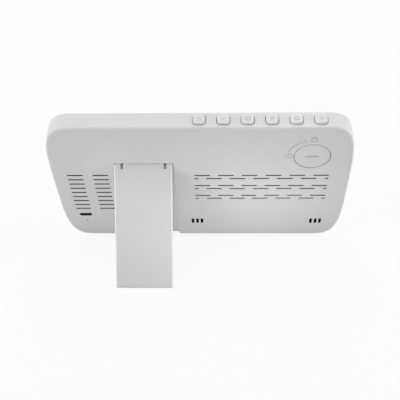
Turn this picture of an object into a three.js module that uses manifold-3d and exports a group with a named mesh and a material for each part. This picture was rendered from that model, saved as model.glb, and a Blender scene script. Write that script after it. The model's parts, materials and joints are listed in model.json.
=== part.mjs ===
// A slim desk clock, half display and half wireless charger, on a fold-out plate stand.
// Millimetres, +Z up. The display and the charging face look along -Y and the stand folds out towards +Y.
// The body is drawn upright: x to the right seen from the front, y from front to back, z up, with its back
// on y = 0 and its lower edge on z = 0. One group then leans it back onto its feet and its open stand.
import * as THREE from 'three';
import { mergeVertices } from 'three/addons/utils/BufferGeometryUtils.js';
import Module from 'manifold-3d';

const wasm = await Module();
wasm.setup();

// Clearances
const FIT = 0.3; // running gap of a moving or clipped piece
const SEAT = 0.2; // gap under a piece that rests on another
const SLIP = 0.25; // gap round a piece in its opening
const CUT_PAST = 2; // how far a cutter runs past the surface it opens

// Pose
const LEAN = 25.6; // degrees the body leans back from upright
const OPEN_ANGLE = 48.5; // degrees between the back and the open stand
const FOOT_DROP = 0.5; // how far the rubber feet hold the mouldings off the table

// Body
const BODY_WIDTH = 208;
const BODY_HEIGHT = 126;
const BODY_DEPTH = 14.4;
const CORNER_WIDTH = 25; // reach of one soft corner along the top or the lower edge
const SIDE_STRAIGHT = 2; // straight stretch left in the middle of each side between its soft corners
const CORNER_POWER = 4; // an ellipse is 2, a square corner is far higher
const CORNER_STEPS = 12;
const BACK_EDGE_RADIUS = 2.2;
const FRONT_EDGE_RADIUS = 1.5;
const EDGE_STEPS = 4;
const ARC_STEPS = 4;
const WALL = 2;
const RIM_SEAT = 1.2; // step inside the rim that the front panel seats on

// Front panel
const PANEL_INSET = 0.2;
const PANEL_THICK = 1.8;
const CLIP_LENGTH = 3.8;
const CLIP_WIDTH = 8;
const CLIP_THICK = 1.2;
const BARB_REACH = 0.7;
const BARB_LENGTH = 1;
const CLIP_SPREAD = 60; // from the middle to each outer clip on the lower edge
const TOP_CLIPS_FROM_SIDE = [42, 80];

// Display
const WINDOW_WIDTH = 92;
const WINDOW_HEIGHT = 56;
const WINDOW_RADIUS = 5;
const WINDOW_FROM_SIDE = 7;
const WINDOW_REBATE = 2;
const LENS_THICK = 1;
const LCD_OVERLAP = 1; // the glass laps this far behind the window's edge
const LCD_THICK = 1.8;
const BACKLIGHT_THICK = 2.3;
const BACKLIGHT_MARGIN = 1;

// Circuit boards
const BOARD_THICK = 1.6;
const MAIN_BOARD_GAP = 0.6;
const MAIN_BOARD_FROM_SIDE = 8;
const MAIN_BOARD_WIDTH = 108;
const MAIN_BOARD_UP = 12;
const MAIN_SCREWS = [[4, 14], [56, 4], [104, 28]]; // from the board's lower left corner
const MAIN_SCREW_INSET = 4; // of the last screw, from the board's upper right corner
const POWER_BOARD_FROM_SIDE = 0.4921; // from the inside of the curved side wall, at the board's lower corner
const POWER_BOARD_WIDTH = 31;
const POWER_BOARD_UP = 13;
const POWER_BOARD_HEIGHT = 23;
const POWER_SCREWS = [[4, 5], [13.1, 20]]; // from the board's lower left corner
const KEY_BOARD_OVERHANG = 6.5; // past the middle of the first and last button
const KEY_BOARD_DEPTH = 9;

// Screws
const SCREW_RADIUS = 1;
const SCREW_HEAD_RADIUS = 2.1;
const SCREW_HEAD_HEIGHT = 1.2;
const SCREW_GRIP = 3;
const SCREW_SIDES = 8;
const PILOT_GAP = 0.15;
const POST_RADIUS = 2.3;
const POST_SIDES = 12;

// Buttons and their switches
const BUTTON_COUNT = 6;
const BUTTON_FROM_SIDE = 24.4;
const BUTTON_PITCH = 15.82;
const BUTTON_SIZE = 8.35;
const BUTTON_RADIUS = 2.6;
const BUTTON_ARC_STEPS = 2;
const BUTTON_PROUD = 1.5;
const BUTTON_EDGE = 1;
const BUTTON_TRAVEL = 0.5;
const BUTTON_FLANGE = 1.2;
const BUTTON_STEM_RADIUS = 1.6;
const BUTTON_STEM_LENGTH = 3;
const SWITCH_SIZE = 6;
const SWITCH_BODY = 3.1;
const SWITCH_PLUNGER = 0.8;
const SWITCH_PLUNGER_RADIUS = 1.6;
const KEY_POST_WIDTH = 6;
const KEY_POST_HEIGHT = 8;
const RIBBON_WIDTH = 10;
const RIBBON_THICK = 0.4;
const RIBBON_LAP = 4;

// Vents
const DASH_FROM_SIDE = 14.4;
const DASH_COUNT = 6;
const DASH_LENGTH = 11.06;
const DASH_PITCH = 16.56;
const DASH_WIDTH = 1.2;
const DASH_TOP = 76.1;
const DASH_GROUPS = 3;
const DASH_GROUP_PITCH = 11.8;
const DASH_PAIR_PITCH = 3.5;
const VENT_FROM_SIDE = 10.3;
const VENT_COLUMNS = 2;
const VENT_COLUMN_PITCH = 18;
const VENT_ROWS = 9;
const VENT_ROW_PITCH = 5.02;
const VENT_TOP = 76.5;
const VENT_LENGTH = 11.1;
const VENT_WIDTH = 1.2;
const SOUND_SLOTS = 3;
const SOUND_PITCH = 3.4;
const SOUND_UP = 19.8;
const SOUND_LENGTH = 6.1;
const SOUND_WIDTH = 1.9;
const BUZZER_FROM_SIDE = 107.4;
const SENSOR_FROM_SIDE = 18.6;
const SLOT_ARC_STEPS = 1;

// Sounder and sensor
const BUZZER_RADIUS = 6;
const BUZZER_THICK = 3;
const SENSOR_SIZE = 3.2;
const SENSOR_THICK = 1.3;

// Socket and reset pinhole
const USB_FROM_SIDE = 16.4;
const USB_UP = 28.5;
const USB_OPENING_WIDTH = 9.5;
const USB_OPENING_HEIGHT = 3.4;
const USB_SHELL_WIDTH = 8.94;
const USB_SHELL_HEIGHT = 3.26;
const USB_SHELL_WALL = 0.3;
const USB_SHELL_LENGTH = 6.7;
const USB_SKIN = 1; // wall left in front of the socket's mouth
const USB_RELIEF = 0.6;
const USB_TONGUE_WIDTH = 6.7;
const USB_TONGUE_THICK = 0.7;
const USB_TONGUE_SETBACK = 1;
const RESET_UP = 20.8;
const RESET_HOLE_RADIUS = 0.75;
const RESET_SIZE = 4;
const RESET_BODY = 2.5;
const RESET_PLUNGER = 2.2;
const RESET_PLUNGER_RADIUS = 0.9;

// Charging half
const CHARGE_FROM_SIDE = 52;
const CHARGE_UP = 66;
const COIL_RADIUS = 22;
const COIL_BORE_RADIUS = 10;
const COIL_THICK = 1.4;
const FERRITE_RADIUS = 24;
const FERRITE_THICK = 1;
const CARRIER_WIDTH = 58;
const CARRIER_HEIGHT = 56;
const CARRIER_THICK = 1.2;
const COIL_SCREW_SPREAD = [27.15, 24];
const COIL_LEAD_RADIUS = 0.6;
const COIL_LEAD_ANGLE = -60; // degrees round the coil where its lead leaves
const COIL_LEAD_LAP = 4;
const PAD_RADIUS = 28;
const PAD_THICK = 0.8;
const POWER_LEAD_RADIUS = 0.8;
const POWER_LEAD_UP = 24;
const POWER_LEAD_LAP = 3;
const LEAD_SIDES = 8;
const LEAD_STEPS = 12;

// Phone ledge
const LEDGE_WIDTH = 64;
const LEDGE_UP = 7;
const LEDGE_DEPTH = 13.4;
const LEDGE_THICK = 5;
const LIP_THICK = 3;
const LIP_HEIGHT = 7;
const LEDGE_PAD_THICK = 1;
const LEDGE_PAD_MARGIN = 0.6;
const LEDGE_SCREW_SPREAD = 24;

// Battery door, cell and holder
const DOOR_FROM_SIDE = 28;
const DOOR_LIP = 0.9; // the door's edge past its neck
const DOOR_FLUSH = 0.1;
const DOOR_THICK = 1.5;
const DOOR_SLIT_LENGTH = 9.25;
const DOOR_SLIT_WIDTH = 1.4;
const DOOR_SLIT_DEPTH = 0.8;
const DOOR_NECK_WALL = 0.8;
const DOOR_LEDGE_THICK = 1.2;
const LUG_THICK = 1.2;
const LUG_REACH = 1;
const LUG_WIDTH = 7;
const CELL_RADIUS = 10;
const CELL_THICK = 3.2;
const CELL_EDGE = 0.4;
const HOLDER_WALL = 1.5;
const HOLDER_FLOOR = 1.2;
const HOLDER_ABOVE = 1.1; // from the holder to the key board
const HOLDER_BELOW = 0.9; // from the holder to the main board
const HOLDER_EAR_ANGLE = 30; // degrees above level, on both sides
const HOLDER_EAR_REACH = 3.5;
const HOLDER_EAR_RADIUS = 3.2;
const CONTACT_THICK = 0.4;
const CONTACT_LENGTH = 12;
const CONTACT_WIDTH = 4;
const ROUND_STEPS = 32;

// Stand
const STAND_FROM_SIDE = 65.25;
const STAND_WIDTH = 40.6;
const STAND_TAPER = 0.4; // how far each side draws in towards the foot
const STAND_THICK = 2.2;
const STAND_EDGE = 0.5;
const STAND_FLUSH = 0.1;
const STAND_HEEL = 1.7; // length of the plate above its hinge line
const STAND_EAR = 4.45;
const STAND_SLIT_WIDTH = 1.8;
const STAND_SLIT_LENGTH = 5.3;
const TRUNNION_RADIUS = 0.6;
const TRUNNION_LENGTH = 1.5;
const TRUNNION_ROOT = 2;
const TRUNNION_SIDES = 12;
const RECESS_TOP = 90;
const RECESS_SIDE = 0.4;
const HEEL_SWEEP_STEPS = 6;
const SOLE_THICK = 0.6;
const SOLE_MARGIN = 0.6; // from each side of the plate's end
const SOLE_EDGE = 0.1; // from each face of the plate

// Body feet
const FOOT_LENGTH = 20;
const FOOT_FROM_MIDDLE = 57;
const FOOT_FRONT = -7.6;
const FOOT_BACK = -3.8;
const FOOT_POCKET = 0.8;

// Places that follow from the sizes above
const radians = THREE.MathUtils.degToRad;
const right = BODY_WIDTH / 2;
const left = -right;
const front = -BODY_DEPTH;
const middleUp = BODY_HEIGHT / 2;
const sideWall = WALL + RIM_SEAT;

const panelFront = front + PANEL_INSET;
const panelBack = panelFront + PANEL_THICK;
const rimSeatY = panelBack + FIT;
const clipEnd = panelBack + CLIP_LENGTH;

const windowMiddle = left + WINDOW_FROM_SIDE + WINDOW_WIDTH / 2;
const lcdFront = panelBack + SEAT;
const lcdBack = lcdFront + LCD_THICK;
const backlightFront = lcdBack + SEAT;
const backlightBack = backlightFront + BACKLIGHT_THICK;
const mainFront = backlightBack + MAIN_BOARD_GAP;
const mainBack = mainFront + BOARD_THICK;
const mainLeft = left + MAIN_BOARD_FROM_SIDE;
const mainRight = mainLeft + MAIN_BOARD_WIDTH;

const usbX = right - USB_FROM_SIDE;
const usbMouth = -USB_SKIN - SEAT;
const usbBack = usbMouth - USB_SHELL_LENGTH;
const powerBack = usbBack - SEAT;
const powerFront = powerBack - BOARD_THICK;
const powerRight = sideWallAt(POWER_BOARD_UP) - POWER_BOARD_FROM_SIDE;
const powerLeft = powerRight - POWER_BOARD_WIDTH;

const chargeX = right - CHARGE_FROM_SIDE;
const coilFront = panelBack + FIT;
const coilBack = coilFront + COIL_THICK;
const ferriteFront = coilBack + SEAT;
const ferriteBack = ferriteFront + FERRITE_THICK;
const carrierFront = ferriteBack + SEAT;
const carrierBack = carrierFront + CARRIER_THICK;

const buttonY = -BODY_DEPTH / 2;
const buttonXs = Array.from({ length: BUTTON_COUNT }, (_, i) => left + BUTTON_FROM_SIDE + i * BUTTON_PITCH);
const flangeTop = BODY_HEIGHT - sideWall - FIT;
const flangeBottom = flangeTop - BUTTON_FLANGE;
const stemBottom = flangeBottom - BUTTON_STEM_LENGTH;
const plungerTop = stemBottom - BUTTON_TRAVEL - FIT;
const switchBottom = plungerTop - SWITCH_PLUNGER - SWITCH_BODY;
const keyTop = switchBottom - SEAT;
const keyBottom = keyTop - BOARD_THICK;
const keyLeft = buttonXs[0] - KEY_BOARD_OVERHANG;
const keyRight = buttonXs[BUTTON_COUNT - 1] + KEY_BOARD_OVERHANG;
const keyScrewXs = [(buttonXs[2] + buttonXs[3]) / 2, (buttonXs[4] + buttonXs[5]) / 2];
const ribbonX = (keyScrewXs[0] + keyScrewXs[1]) / 2;

const doorX = left + DOOR_FROM_SIDE;
const doorBack = -DOOR_FLUSH;
const doorFront = doorBack - DOOR_THICK;
const neckBore = CELL_RADIUS + FIT;
const neckRadius = neckBore + DOOR_NECK_WALL;
const doorHole = neckRadius + SLIP;
const doorRadius = neckRadius + DOOR_LIP;
const doorSink = doorRadius + FIT;
const ledgeBack = doorFront - FIT;
const ledgeFront = ledgeBack - DOOR_LEDGE_THICK;
const lugBack = ledgeFront - FIT;
const lugFront = lugBack - LUG_THICK;
const lugRadius = neckRadius + LUG_REACH;
const cupBore = lugRadius + FIT;
const cupRadius = cupBore + HOLDER_WALL;
const doorZ = keyBottom - HOLDER_ABOVE - cupRadius;
const mainTop = doorZ - cupRadius - HOLDER_BELOW;
const cellBack = doorFront - FIT;
const cellFront = cellBack - CELL_THICK;
const contactBack = cellFront - SEAT;
const cupFloorBack = contactBack - CONTACT_THICK - SEAT;
const cupFloorFront = cupFloorBack - HOLDER_FLOOR;
const earSpots = [1, -1].map((side) => [
  doorX + side * (cupRadius + HOLDER_EAR_REACH) * Math.cos(radians(HOLDER_EAR_ANGLE)),
  doorZ + (cupRadius + HOLDER_EAR_REACH) * Math.sin(radians(HOLDER_EAR_ANGLE)),
]);

const standX = right - STAND_FROM_SIDE;
const hingeY = -STAND_FLUSH - STAND_THICK / 2;
const heelRadius = Math.hypot(STAND_THICK / 2, STAND_HEEL);
const hingeZ = RECESS_TOP - heelRadius - FIT;
const recessFloor = -STAND_FLUSH - STAND_THICK - FIT;
const recessInside = recessFloor - WALL;
const recessHalf = STAND_WIDTH / 2 + RECESS_SIDE;

const lean = radians(LEAN);
const open = radians(OPEN_ANGLE);
const edgeDip = BACK_EDGE_RADIUS * (Math.sin(lean) + Math.cos(lean) - 1);
const lift = FOOT_DROP - edgeDip;
const hingeHeight = lift - hingeY * Math.sin(lean) + hingeZ * Math.cos(lean);
const standTilt = open - lean;

// Height of the table under a point of the leaning body
const tableUnderBody = (y) => (y * Math.sin(lean) - lift) / Math.cos(lean);

// A line some way above the table, at a point of the open stand beside its hinge
const standLevel = (y, above) => (above - hingeHeight - y * Math.sin(standTilt)) / Math.cos(standTilt);

// Closed solids from drawn shapes
function toSolid(geometry) {
  const bare = new THREE.BufferGeometry();
  bare.setAttribute('position', geometry.getAttribute('position'));
  bare.setIndex(geometry.getIndex());
  const merged = mergeVertices(bare);
  const corners = merged.getIndex().array;
  const triVerts = [];
  for (let i = 0; i < corners.length; i += 3) {
    const triangle = [corners[i], corners[i + 1], corners[i + 2]];
    if (new Set(triangle).size === triangle.length) triVerts.push(...triangle);
  }
  const mesh = new wasm.Mesh({
    numProp: 3,
    vertProperties: merged.getAttribute('position').array,
    triVerts: new Uint32Array(triVerts),
  });
  return new wasm.Manifold(mesh);
}

function toGeometry(solid) {
  const mesh = solid.getMesh();
  const geometry = new THREE.BufferGeometry();
  geometry.setAttribute('position', new THREE.BufferAttribute(mesh.vertProperties, 3));
  geometry.setIndex(new THREE.BufferAttribute(mesh.triVerts, 1));
  geometry.computeVertexNormals();
  return geometry;
}

const join = (solids) => solids.reduce((whole, next) => whole.add(next));

function box(x0, x1, y0, y1, z0, z1) {
  const geometry = new THREE.BoxGeometry(x1 - x0, y1 - y0, z1 - z0);
  geometry.translate((x0 + x1) / 2, (y0 + y1) / 2, (z0 + z1) / 2);
  return toSolid(geometry);
}

// A shape drawn in x and z, from yFront to yBack, with its edges cut back by bevel
function slab(shape, yFront, yBack, { curveSegments = ARC_STEPS, bevel = 0 } = {}) {
  const geometry = new THREE.ExtrudeGeometry(shape, {
    depth: yBack - yFront - 2 * bevel,
    curveSegments,
    bevelEnabled: bevel > 0,
    bevelThickness: bevel,
    bevelSize: bevel,
    bevelOffset: -bevel,
    bevelSegments: 1,
  });
  geometry.rotateX(Math.PI / 2);
  geometry.translate(0, yBack - bevel, 0);
  return toSolid(geometry);
}

// A shape drawn in y and z, from x0 to x1
function beam(points, x0, x1) {
  const shape = new THREE.Shape(points.map(([y, z]) => new THREE.Vector2(y, z)));
  const geometry = new THREE.ExtrudeGeometry(shape, { depth: x1 - x0, bevelEnabled: false });
  const turn = new THREE.Matrix4().makeBasis(
    new THREE.Vector3(0, 1, 0),
    new THREE.Vector3(0, 0, 1),
    new THREE.Vector3(1, 0, 0),
  );
  geometry.applyMatrix4(turn);
  geometry.translate(x0, 0, 0);
  return toSolid(geometry);
}

// Round bars along x, y and z
function barX(radius, x0, x1, y, z, sides) {
  const geometry = new THREE.CylinderGeometry(radius, radius, x1 - x0, sides);
  geometry.rotateZ(Math.PI / 2);
  geometry.translate((x0 + x1) / 2, y, z);
  return toSolid(geometry);
}

function barY(radius, y0, y1, x, z, sides) {
  const geometry = new THREE.CylinderGeometry(radius, radius, y1 - y0, sides);
  geometry.translate(x, (y0 + y1) / 2, z);
  return toSolid(geometry);
}

function barZ(radius, z0, z1, x, y, sides) {
  const geometry = new THREE.CylinderGeometry(radius, radius, z1 - z0, sides);
  geometry.rotateX(Math.PI / 2);
  geometry.translate(x, y, (z0 + z1) / 2);
  return toSolid(geometry);
}

// A profile of radius and y, turned about the y direction through x and z
function turned(profile, x, z, steps) {
  const geometry = new THREE.LatheGeometry(profile.map(([r, y]) => new THREE.Vector2(r, y)), steps);
  geometry.translate(x, 0, z);
  return toSolid(geometry);
}

function ring(bore, radius, y0, y1, x, z) {
  return turned([[bore, y0], [radius, y0], [radius, y1], [bore, y1], [bore, y0]], x, z, ROUND_STEPS);
}

function roundedRectangle(x0, x1, z0, z1, radius) {
  const shape = new THREE.Shape();
  shape.absarc(x1 - radius, z0 + radius, radius, -Math.PI / 2, 0);
  shape.absarc(x1 - radius, z1 - radius, radius, 0, Math.PI / 2);
  shape.absarc(x0 + radius, z1 - radius, radius, Math.PI / 2, Math.PI);
  shape.absarc(x0 + radius, z0 + radius, radius, Math.PI, 1.5 * Math.PI);
  shape.closePath();
  return shape;
}

function levelSlot(x0, x1, z, width) {
  const radius = width / 2;
  const shape = new THREE.Shape();
  shape.absarc(x1 - radius, z, radius, -Math.PI / 2, Math.PI / 2);
  shape.absarc(x0 + radius, z, radius, Math.PI / 2, 1.5 * Math.PI);
  shape.closePath();
  return shape;
}

function uprightSlot(x, z0, z1, width) {
  const radius = width / 2;
  const shape = new THREE.Shape();
  shape.absarc(x, z1 - radius, radius, 0, Math.PI);
  shape.absarc(x, z0 + radius, radius, Math.PI, 2 * Math.PI);
  shape.closePath();
  return shape;
}

function lead(points, radius) {
  const section = new THREE.Shape();
  section.absarc(0, 0, radius, 0, 2 * Math.PI);
  const geometry = new THREE.ExtrudeGeometry(section, {
    extrudePath: new THREE.CatmullRomCurve3(points.map((point) => new THREE.Vector3(...point))),
    steps: LEAD_STEPS,
    curveSegments: LEAD_SIDES / 2,
  });
  return toSolid(geometry);
}

// The soft-cornered outline of the body, set in by inset
function outlinePoints(inset) {
  const run = right - CORNER_WIDTH;
  const rise = SIDE_STRAIGHT / 2;
  const cornerWidth = CORNER_WIDTH - inset;
  const cornerHeight = middleUp - rise - inset;
  const soften = (value) => Math.sign(value) * Math.abs(value) ** (2 / CORNER_POWER);
  const points = [];
  for (const [quarter, sideX, sideZ] of [[0, 1, 1], [1, -1, 1], [2, -1, -1], [3, 1, -1]]) {
    for (let step = 0; step <= CORNER_STEPS; step += 1) {
      const angle = ((quarter + step / CORNER_STEPS) * Math.PI) / 2;
      const x = sideX * run + cornerWidth * soften(Math.cos(angle));
      const z = middleUp + sideZ * rise + cornerHeight * soften(Math.sin(angle));
      points.push([x, z]);
    }
  }
  return points;
}

// How far from the middle the inside of the side wall lies at a height in the lower half
function sideWallAt(z) {
  const cornerMiddle = middleUp - SIDE_STRAIGHT / 2;
  const share = (cornerMiddle - z) / (cornerMiddle - sideWall);
  const bulge = (1 - share ** CORNER_POWER) ** (1 / CORNER_POWER);
  return right - CORNER_WIDTH + (CORNER_WIDTH - sideWall) * bulge;
}

const outline = (inset) => new THREE.Shape(outlinePoints(inset).map(([x, z]) => new THREE.Vector2(x, z)));

// The full body with both edges rounded: rings of the outline from the back face to the front face
function bodyBlock() {
  const turns = Array.from({ length: EDGE_STEPS + 1 }, (_, i) => ((i / EDGE_STEPS) * Math.PI) / 2);
  const backRings = turns.map((turn) => [
    BACK_EDGE_RADIUS * (1 - Math.sin(turn)),
    -BACK_EDGE_RADIUS * (1 - Math.cos(turn)),
  ]);
  const frontRings = turns.map((turn) => [
    FRONT_EDGE_RADIUS * (1 - Math.cos(turn)),
    front + FRONT_EDGE_RADIUS * (1 - Math.sin(turn)),
  ]);
  const rings = [...backRings, ...frontRings].map(([inset, y]) =>
    outlinePoints(inset).map(([x, z]) => [x, y, z]));
  const count = rings[0].length;
  const last = (rings.length - 1) * count;
  const index = [];
  for (let start = 0; start < last; start += count) {
    for (let i = 0; i < count; i += 1) {
      const next = (i + 1) % count;
      index.push(start + i, start + next, start + count + next);
      index.push(start + i, start + count + next, start + count + i);
    }
  }
  for (let i = 1; i < count - 1; i += 1) {
    index.push(0, i + 1, i);
    index.push(last, last + i, last + i + 1);
  }
  const geometry = new THREE.BufferGeometry();
  geometry.setAttribute('position', new THREE.Float32BufferAttribute(rings.flat(2), 3));
  geometry.setIndex(index);
  return toSolid(geometry);
}

// Screw spots: x, z and the y of the plate's two faces
const offsetSpots = (spots, x, z) => spots.map(([dx, dz]) => [x + dx, z + dz]);
const [coilScrewX, coilScrewZ] = COIL_SCREW_SPREAD;
const cornerSigns = [[-1, -1], [1, -1], [-1, 1], [1, 1]];
const coilCorners = cornerSigns.map(([sx, sz]) => [sx * coilScrewX, sz * coilScrewZ]);
const mainCorner = [mainRight - MAIN_SCREW_INSET, mainTop - MAIN_SCREW_INSET];
const fastenings = [
  {
    name: 'main_board_screw',
    spots: [...offsetSpots(MAIN_SCREWS, mainLeft, MAIN_BOARD_UP), mainCorner],
    face: mainFront,
    back: mainBack,
  },
  {
    name: 'power_board_screw',
    spots: offsetSpots(POWER_SCREWS, powerLeft, POWER_BOARD_UP),
    face: powerFront,
    back: powerBack,
  },
  {
    name: 'coil_screw',
    spots: offsetSpots(coilCorners, chargeX, CHARGE_UP),
    face: carrierFront,
    back: carrierBack,
  },
  {
    name: 'holder_screw',
    spots: earSpots,
    face: cupFloorFront,
    back: cupFloorBack,
  },
];
const spotsOf = (name) => fastenings.find((fastening) => fastening.name === name).spots;
const screwHole = (x, z, y0, y1) => barY(SCREW_RADIUS + SLIP, y0, y1, x, z, SCREW_SIDES);
const screwHoles = (spots, y0, y1) => join(spots.map(([x, z]) => screwHole(x, z, y0, y1)));

// A screw along +y, with the underside of its head on y = 0
function screw(shank) {
  const profile = [
    [0, -SCREW_HEAD_HEIGHT],
    [SCREW_HEAD_RADIUS, -SCREW_HEAD_HEIGHT],
    [SCREW_HEAD_RADIUS, 0],
    [SCREW_RADIUS, 0],
    [SCREW_RADIUS, shank],
    [0, shank],
  ];
  return turned(profile, 0, 0, SCREW_SIDES);
}

// Clips of the front panel: the side they catch in and their place along it
const clips = [
  ...[-CLIP_SPREAD, 0, CLIP_SPREAD].map((at) => ({ axis: 'z', edge: 0, inward: 1, at })),
  ...TOP_CLIPS_FROM_SIDE.map((inset) => ({ axis: 'z', edge: BODY_HEIGHT, inward: -1, at: right - inset })),
  { axis: 'x', edge: left, inward: 1, at: middleUp },
  { axis: 'x', edge: right, inward: -1, at: middleUp },
];

function clipBox({ axis, edge, inward, at }, half, depth0, depth1, y0, y1) {
  const [low, high] = [edge + inward * depth0, edge + inward * depth1].sort((a, b) => a - b);
  if (axis === 'z') return box(at - half, at + half, y0, y1, low, high);
  return box(low, high, y0, y1, at - half, at + half);
}

// Rear cover: bosses first, then everything that is open
function coverBosses() {
  const root = -WALL / 2;
  const posts = fastenings.flatMap(({ spots, back }) =>
    spots.map(([x, z]) => barY(POST_RADIUS, back + SEAT, root, x, z, POST_SIDES)));
  const keyPostTop = keyBottom - SEAT;
  const keyPosts = keyScrewXs.map((x) => {
    const half = KEY_POST_WIDTH / 2;
    return box(x - half, x + half, buttonY - half, root, keyPostTop - KEY_POST_HEIGHT, keyPostTop);
  });
  const outer = recessHalf + WALL;
  const [x0, x1] = [standX - outer, standX + outer];
  const top = RECESS_TOP + WALL;
  const housing = box(x0, x1, recessInside, root, WALL / 2, top);
  const heelRoom = heelRadius + FIT + WALL;
  const hingeBlock = box(x0, x1, hingeY - heelRoom, root, hingeZ - heelRoom, top);
  const doorBoss = barY(cupRadius, ledgeFront, root, doorX, doorZ, ROUND_STEPS);
  return join([...posts, ...keyPosts, housing, hingeBlock, doorBoss]);
}

function dashVents() {
  const end = left + DASH_FROM_SIDE;
  const start = end + (DASH_COUNT - 1) * DASH_PITCH + DASH_LENGTH;
  const cuts = [];
  for (let group = 0; group < DASH_GROUPS; group += 1) {
    const z = DASH_TOP - group * DASH_GROUP_PITCH;
    for (let i = 0; i < DASH_COUNT; i += 1) {
      const x = end + i * DASH_PITCH;
      cuts.push(levelSlot(x, x + DASH_LENGTH, z, DASH_WIDTH));
    }
    for (let i = 0; i <= DASH_COUNT; i += 1) {
      const x = end + (i - 0.5) * DASH_PITCH;
      const x0 = Math.max(x, end);
      const x1 = Math.min(x + DASH_LENGTH, start);
      cuts.push(levelSlot(x0, x1, z - DASH_PAIR_PITCH, DASH_WIDTH));
    }
  }
  return cuts;
}

function columnVents() {
  const cuts = [];
  for (let column = 0; column < VENT_COLUMNS; column += 1) {
    const x = right - VENT_FROM_SIDE - column * VENT_COLUMN_PITCH;
    for (let row = 0; row < VENT_ROWS; row += 1) {
      cuts.push(levelSlot(x - VENT_LENGTH, x, VENT_TOP - row * VENT_ROW_PITCH, VENT_WIDTH));
    }
  }
  return cuts;
}

function soundSlots(middle) {
  return Array.from({ length: SOUND_SLOTS }, (_, i) => {
    const x = middle + (i - (SOUND_SLOTS - 1) / 2) * SOUND_PITCH;
    return uprightSlot(x, SOUND_UP - SOUND_LENGTH / 2, SOUND_UP + SOUND_LENGTH / 2, SOUND_WIDTH);
  });
}

function slotCuts() {
  const shapes = [
    ...dashVents(),
    ...columnVents(),
    ...soundSlots(left + BUZZER_FROM_SIDE),
    ...soundSlots(left + SENSOR_FROM_SIDE),
  ];
  const cut = (shape) => slab(shape, -WALL - CUT_PAST, CUT_PAST, { curveSegments: SLOT_ARC_STEPS });
  return join(shapes.map(cut));
}

function recessCuts() {
  const space = box(standX - recessHalf, standX + recessHalf, recessFloor, CUT_PAST, -CUT_PAST, RECESS_TOP);
  const reach = STAND_WIDTH / 2 + TRUNNION_LENGTH + FIT;
  const bore = TRUNNION_RADIUS + SLIP;
  const bearings = barX(bore, standX - reach, standX + reach, hingeY, hingeZ, TRUNNION_SIDES);
  const half = STAND_THICK / 2 + FIT;
  const sweeps = Array.from({ length: HEEL_SWEEP_STEPS + 1 }, (_, i) => {
    const geometry = new THREE.BoxGeometry(2 * recessHalf, 2 * half, 2 * (STAND_HEEL + FIT));
    geometry.rotateX((i / HEEL_SWEEP_STEPS) * open);
    geometry.translate(standX, hingeY, hingeZ);
    return toSolid(geometry);
  });
  return join([space, bearings, ...sweeps]);
}

function doorCuts() {
  const sink = barY(doorSink, ledgeBack, CUT_PAST, doorX, doorZ, ROUND_STEPS);
  const through = ledgeFront - CUT_PAST;
  const hole = barY(doorHole, through, 0, doorX, doorZ, ROUND_STEPS);
  const half = LUG_WIDTH / 2 + FIT;
  const band = box(doorX - half, doorX + half, through, 0, doorZ - doorSink, doorZ + doorSink);
  const notches = barY(lugRadius + SLIP, through, 0, doorX, doorZ, ROUND_STEPS).intersect(band);
  return join([sink, hole, notches]);
}

function socketCuts() {
  const openingHalf = USB_OPENING_WIDTH / 2;
  const reliefX = USB_SHELL_WIDTH / 2 + USB_RELIEF;
  const reliefZ = USB_SHELL_HEIGHT / 2 + USB_RELIEF;
  const through = -WALL - CUT_PAST;
  const slot = levelSlot(usbX - openingHalf, usbX + openingHalf, USB_UP, USB_OPENING_HEIGHT);
  const mouth = slab(slot, -WALL, CUT_PAST);
  const [z0, z1] = [USB_UP - reliefZ, USB_UP + reliefZ];
  const relief = box(usbX - reliefX, usbX + reliefX, through, -USB_SKIN, z0, z1);
  const pinhole = barY(RESET_HOLE_RADIUS, through, CUT_PAST, usbX, RESET_UP, POST_SIDES);
  return join([mouth, relief, pinhole]);
}

const buttonOpening = (x, grow) => {
  const half = BUTTON_SIZE / 2 + grow;
  return roundedRectangle(x - half, x + half, buttonY - half, buttonY + half, BUTTON_RADIUS + grow);
};

function buttonCuts() {
  const flangeHalf = BUTTON_SIZE / 2 + BUTTON_FLANGE + FIT;
  const deepHalf = BUTTON_SIZE / 2 + FIT;
  const [y0, y1] = [buttonY - deepHalf, buttonY + deepHalf];
  const [z0, z1] = [flangeBottom - CUT_PAST, flangeTop + FIT];
  const settings = {
    depth: sideWall + 2 * CUT_PAST,
    bevelEnabled: false,
    curveSegments: BUTTON_ARC_STEPS,
  };
  return join(buttonXs.map((x) => {
    const geometry = new THREE.ExtrudeGeometry(buttonOpening(x, SLIP), settings);
    geometry.translate(0, 0, BODY_HEIGHT - sideWall - CUT_PAST);
    return toSolid(geometry).add(box(x - flangeHalf, x + flangeHalf, y0, y1, z0, z1));
  }));
}

function pilotCuts() {
  const radius = SCREW_RADIUS + PILOT_GAP;
  const depth = SEAT + SCREW_GRIP + FIT;
  const level = fastenings.flatMap(({ spots, back }) =>
    spots.map(([x, z]) => barY(radius, back - CUT_PAST, back + depth, x, z, SCREW_SIDES)));
  const upright = keyScrewXs.map((x) =>
    barZ(radius, keyBottom - depth, keyBottom + CUT_PAST, x, buttonY, SCREW_SIDES));
  return join([...level, ...upright]);
}

function clipPockets() {
  const half = CLIP_WIDTH / 2 + FIT;
  const depth = sideWall - BARB_REACH;
  return join(clips.map((clip) =>
    clipBox(clip, half, depth, sideWall + CUT_PAST, clipEnd - BARB_LENGTH - FIT, clipEnd + FIT)));
}

function footPockets() {
  const half = FOOT_LENGTH / 2 + SLIP;
  return join([-1, 1].map((side) => {
    const x = side * FOOT_FROM_MIDDLE;
    return box(x - half, x + half, FOOT_FRONT - SLIP, FOOT_BACK + SLIP, -CUT_PAST, FOOT_POCKET);
  }));
}

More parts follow.
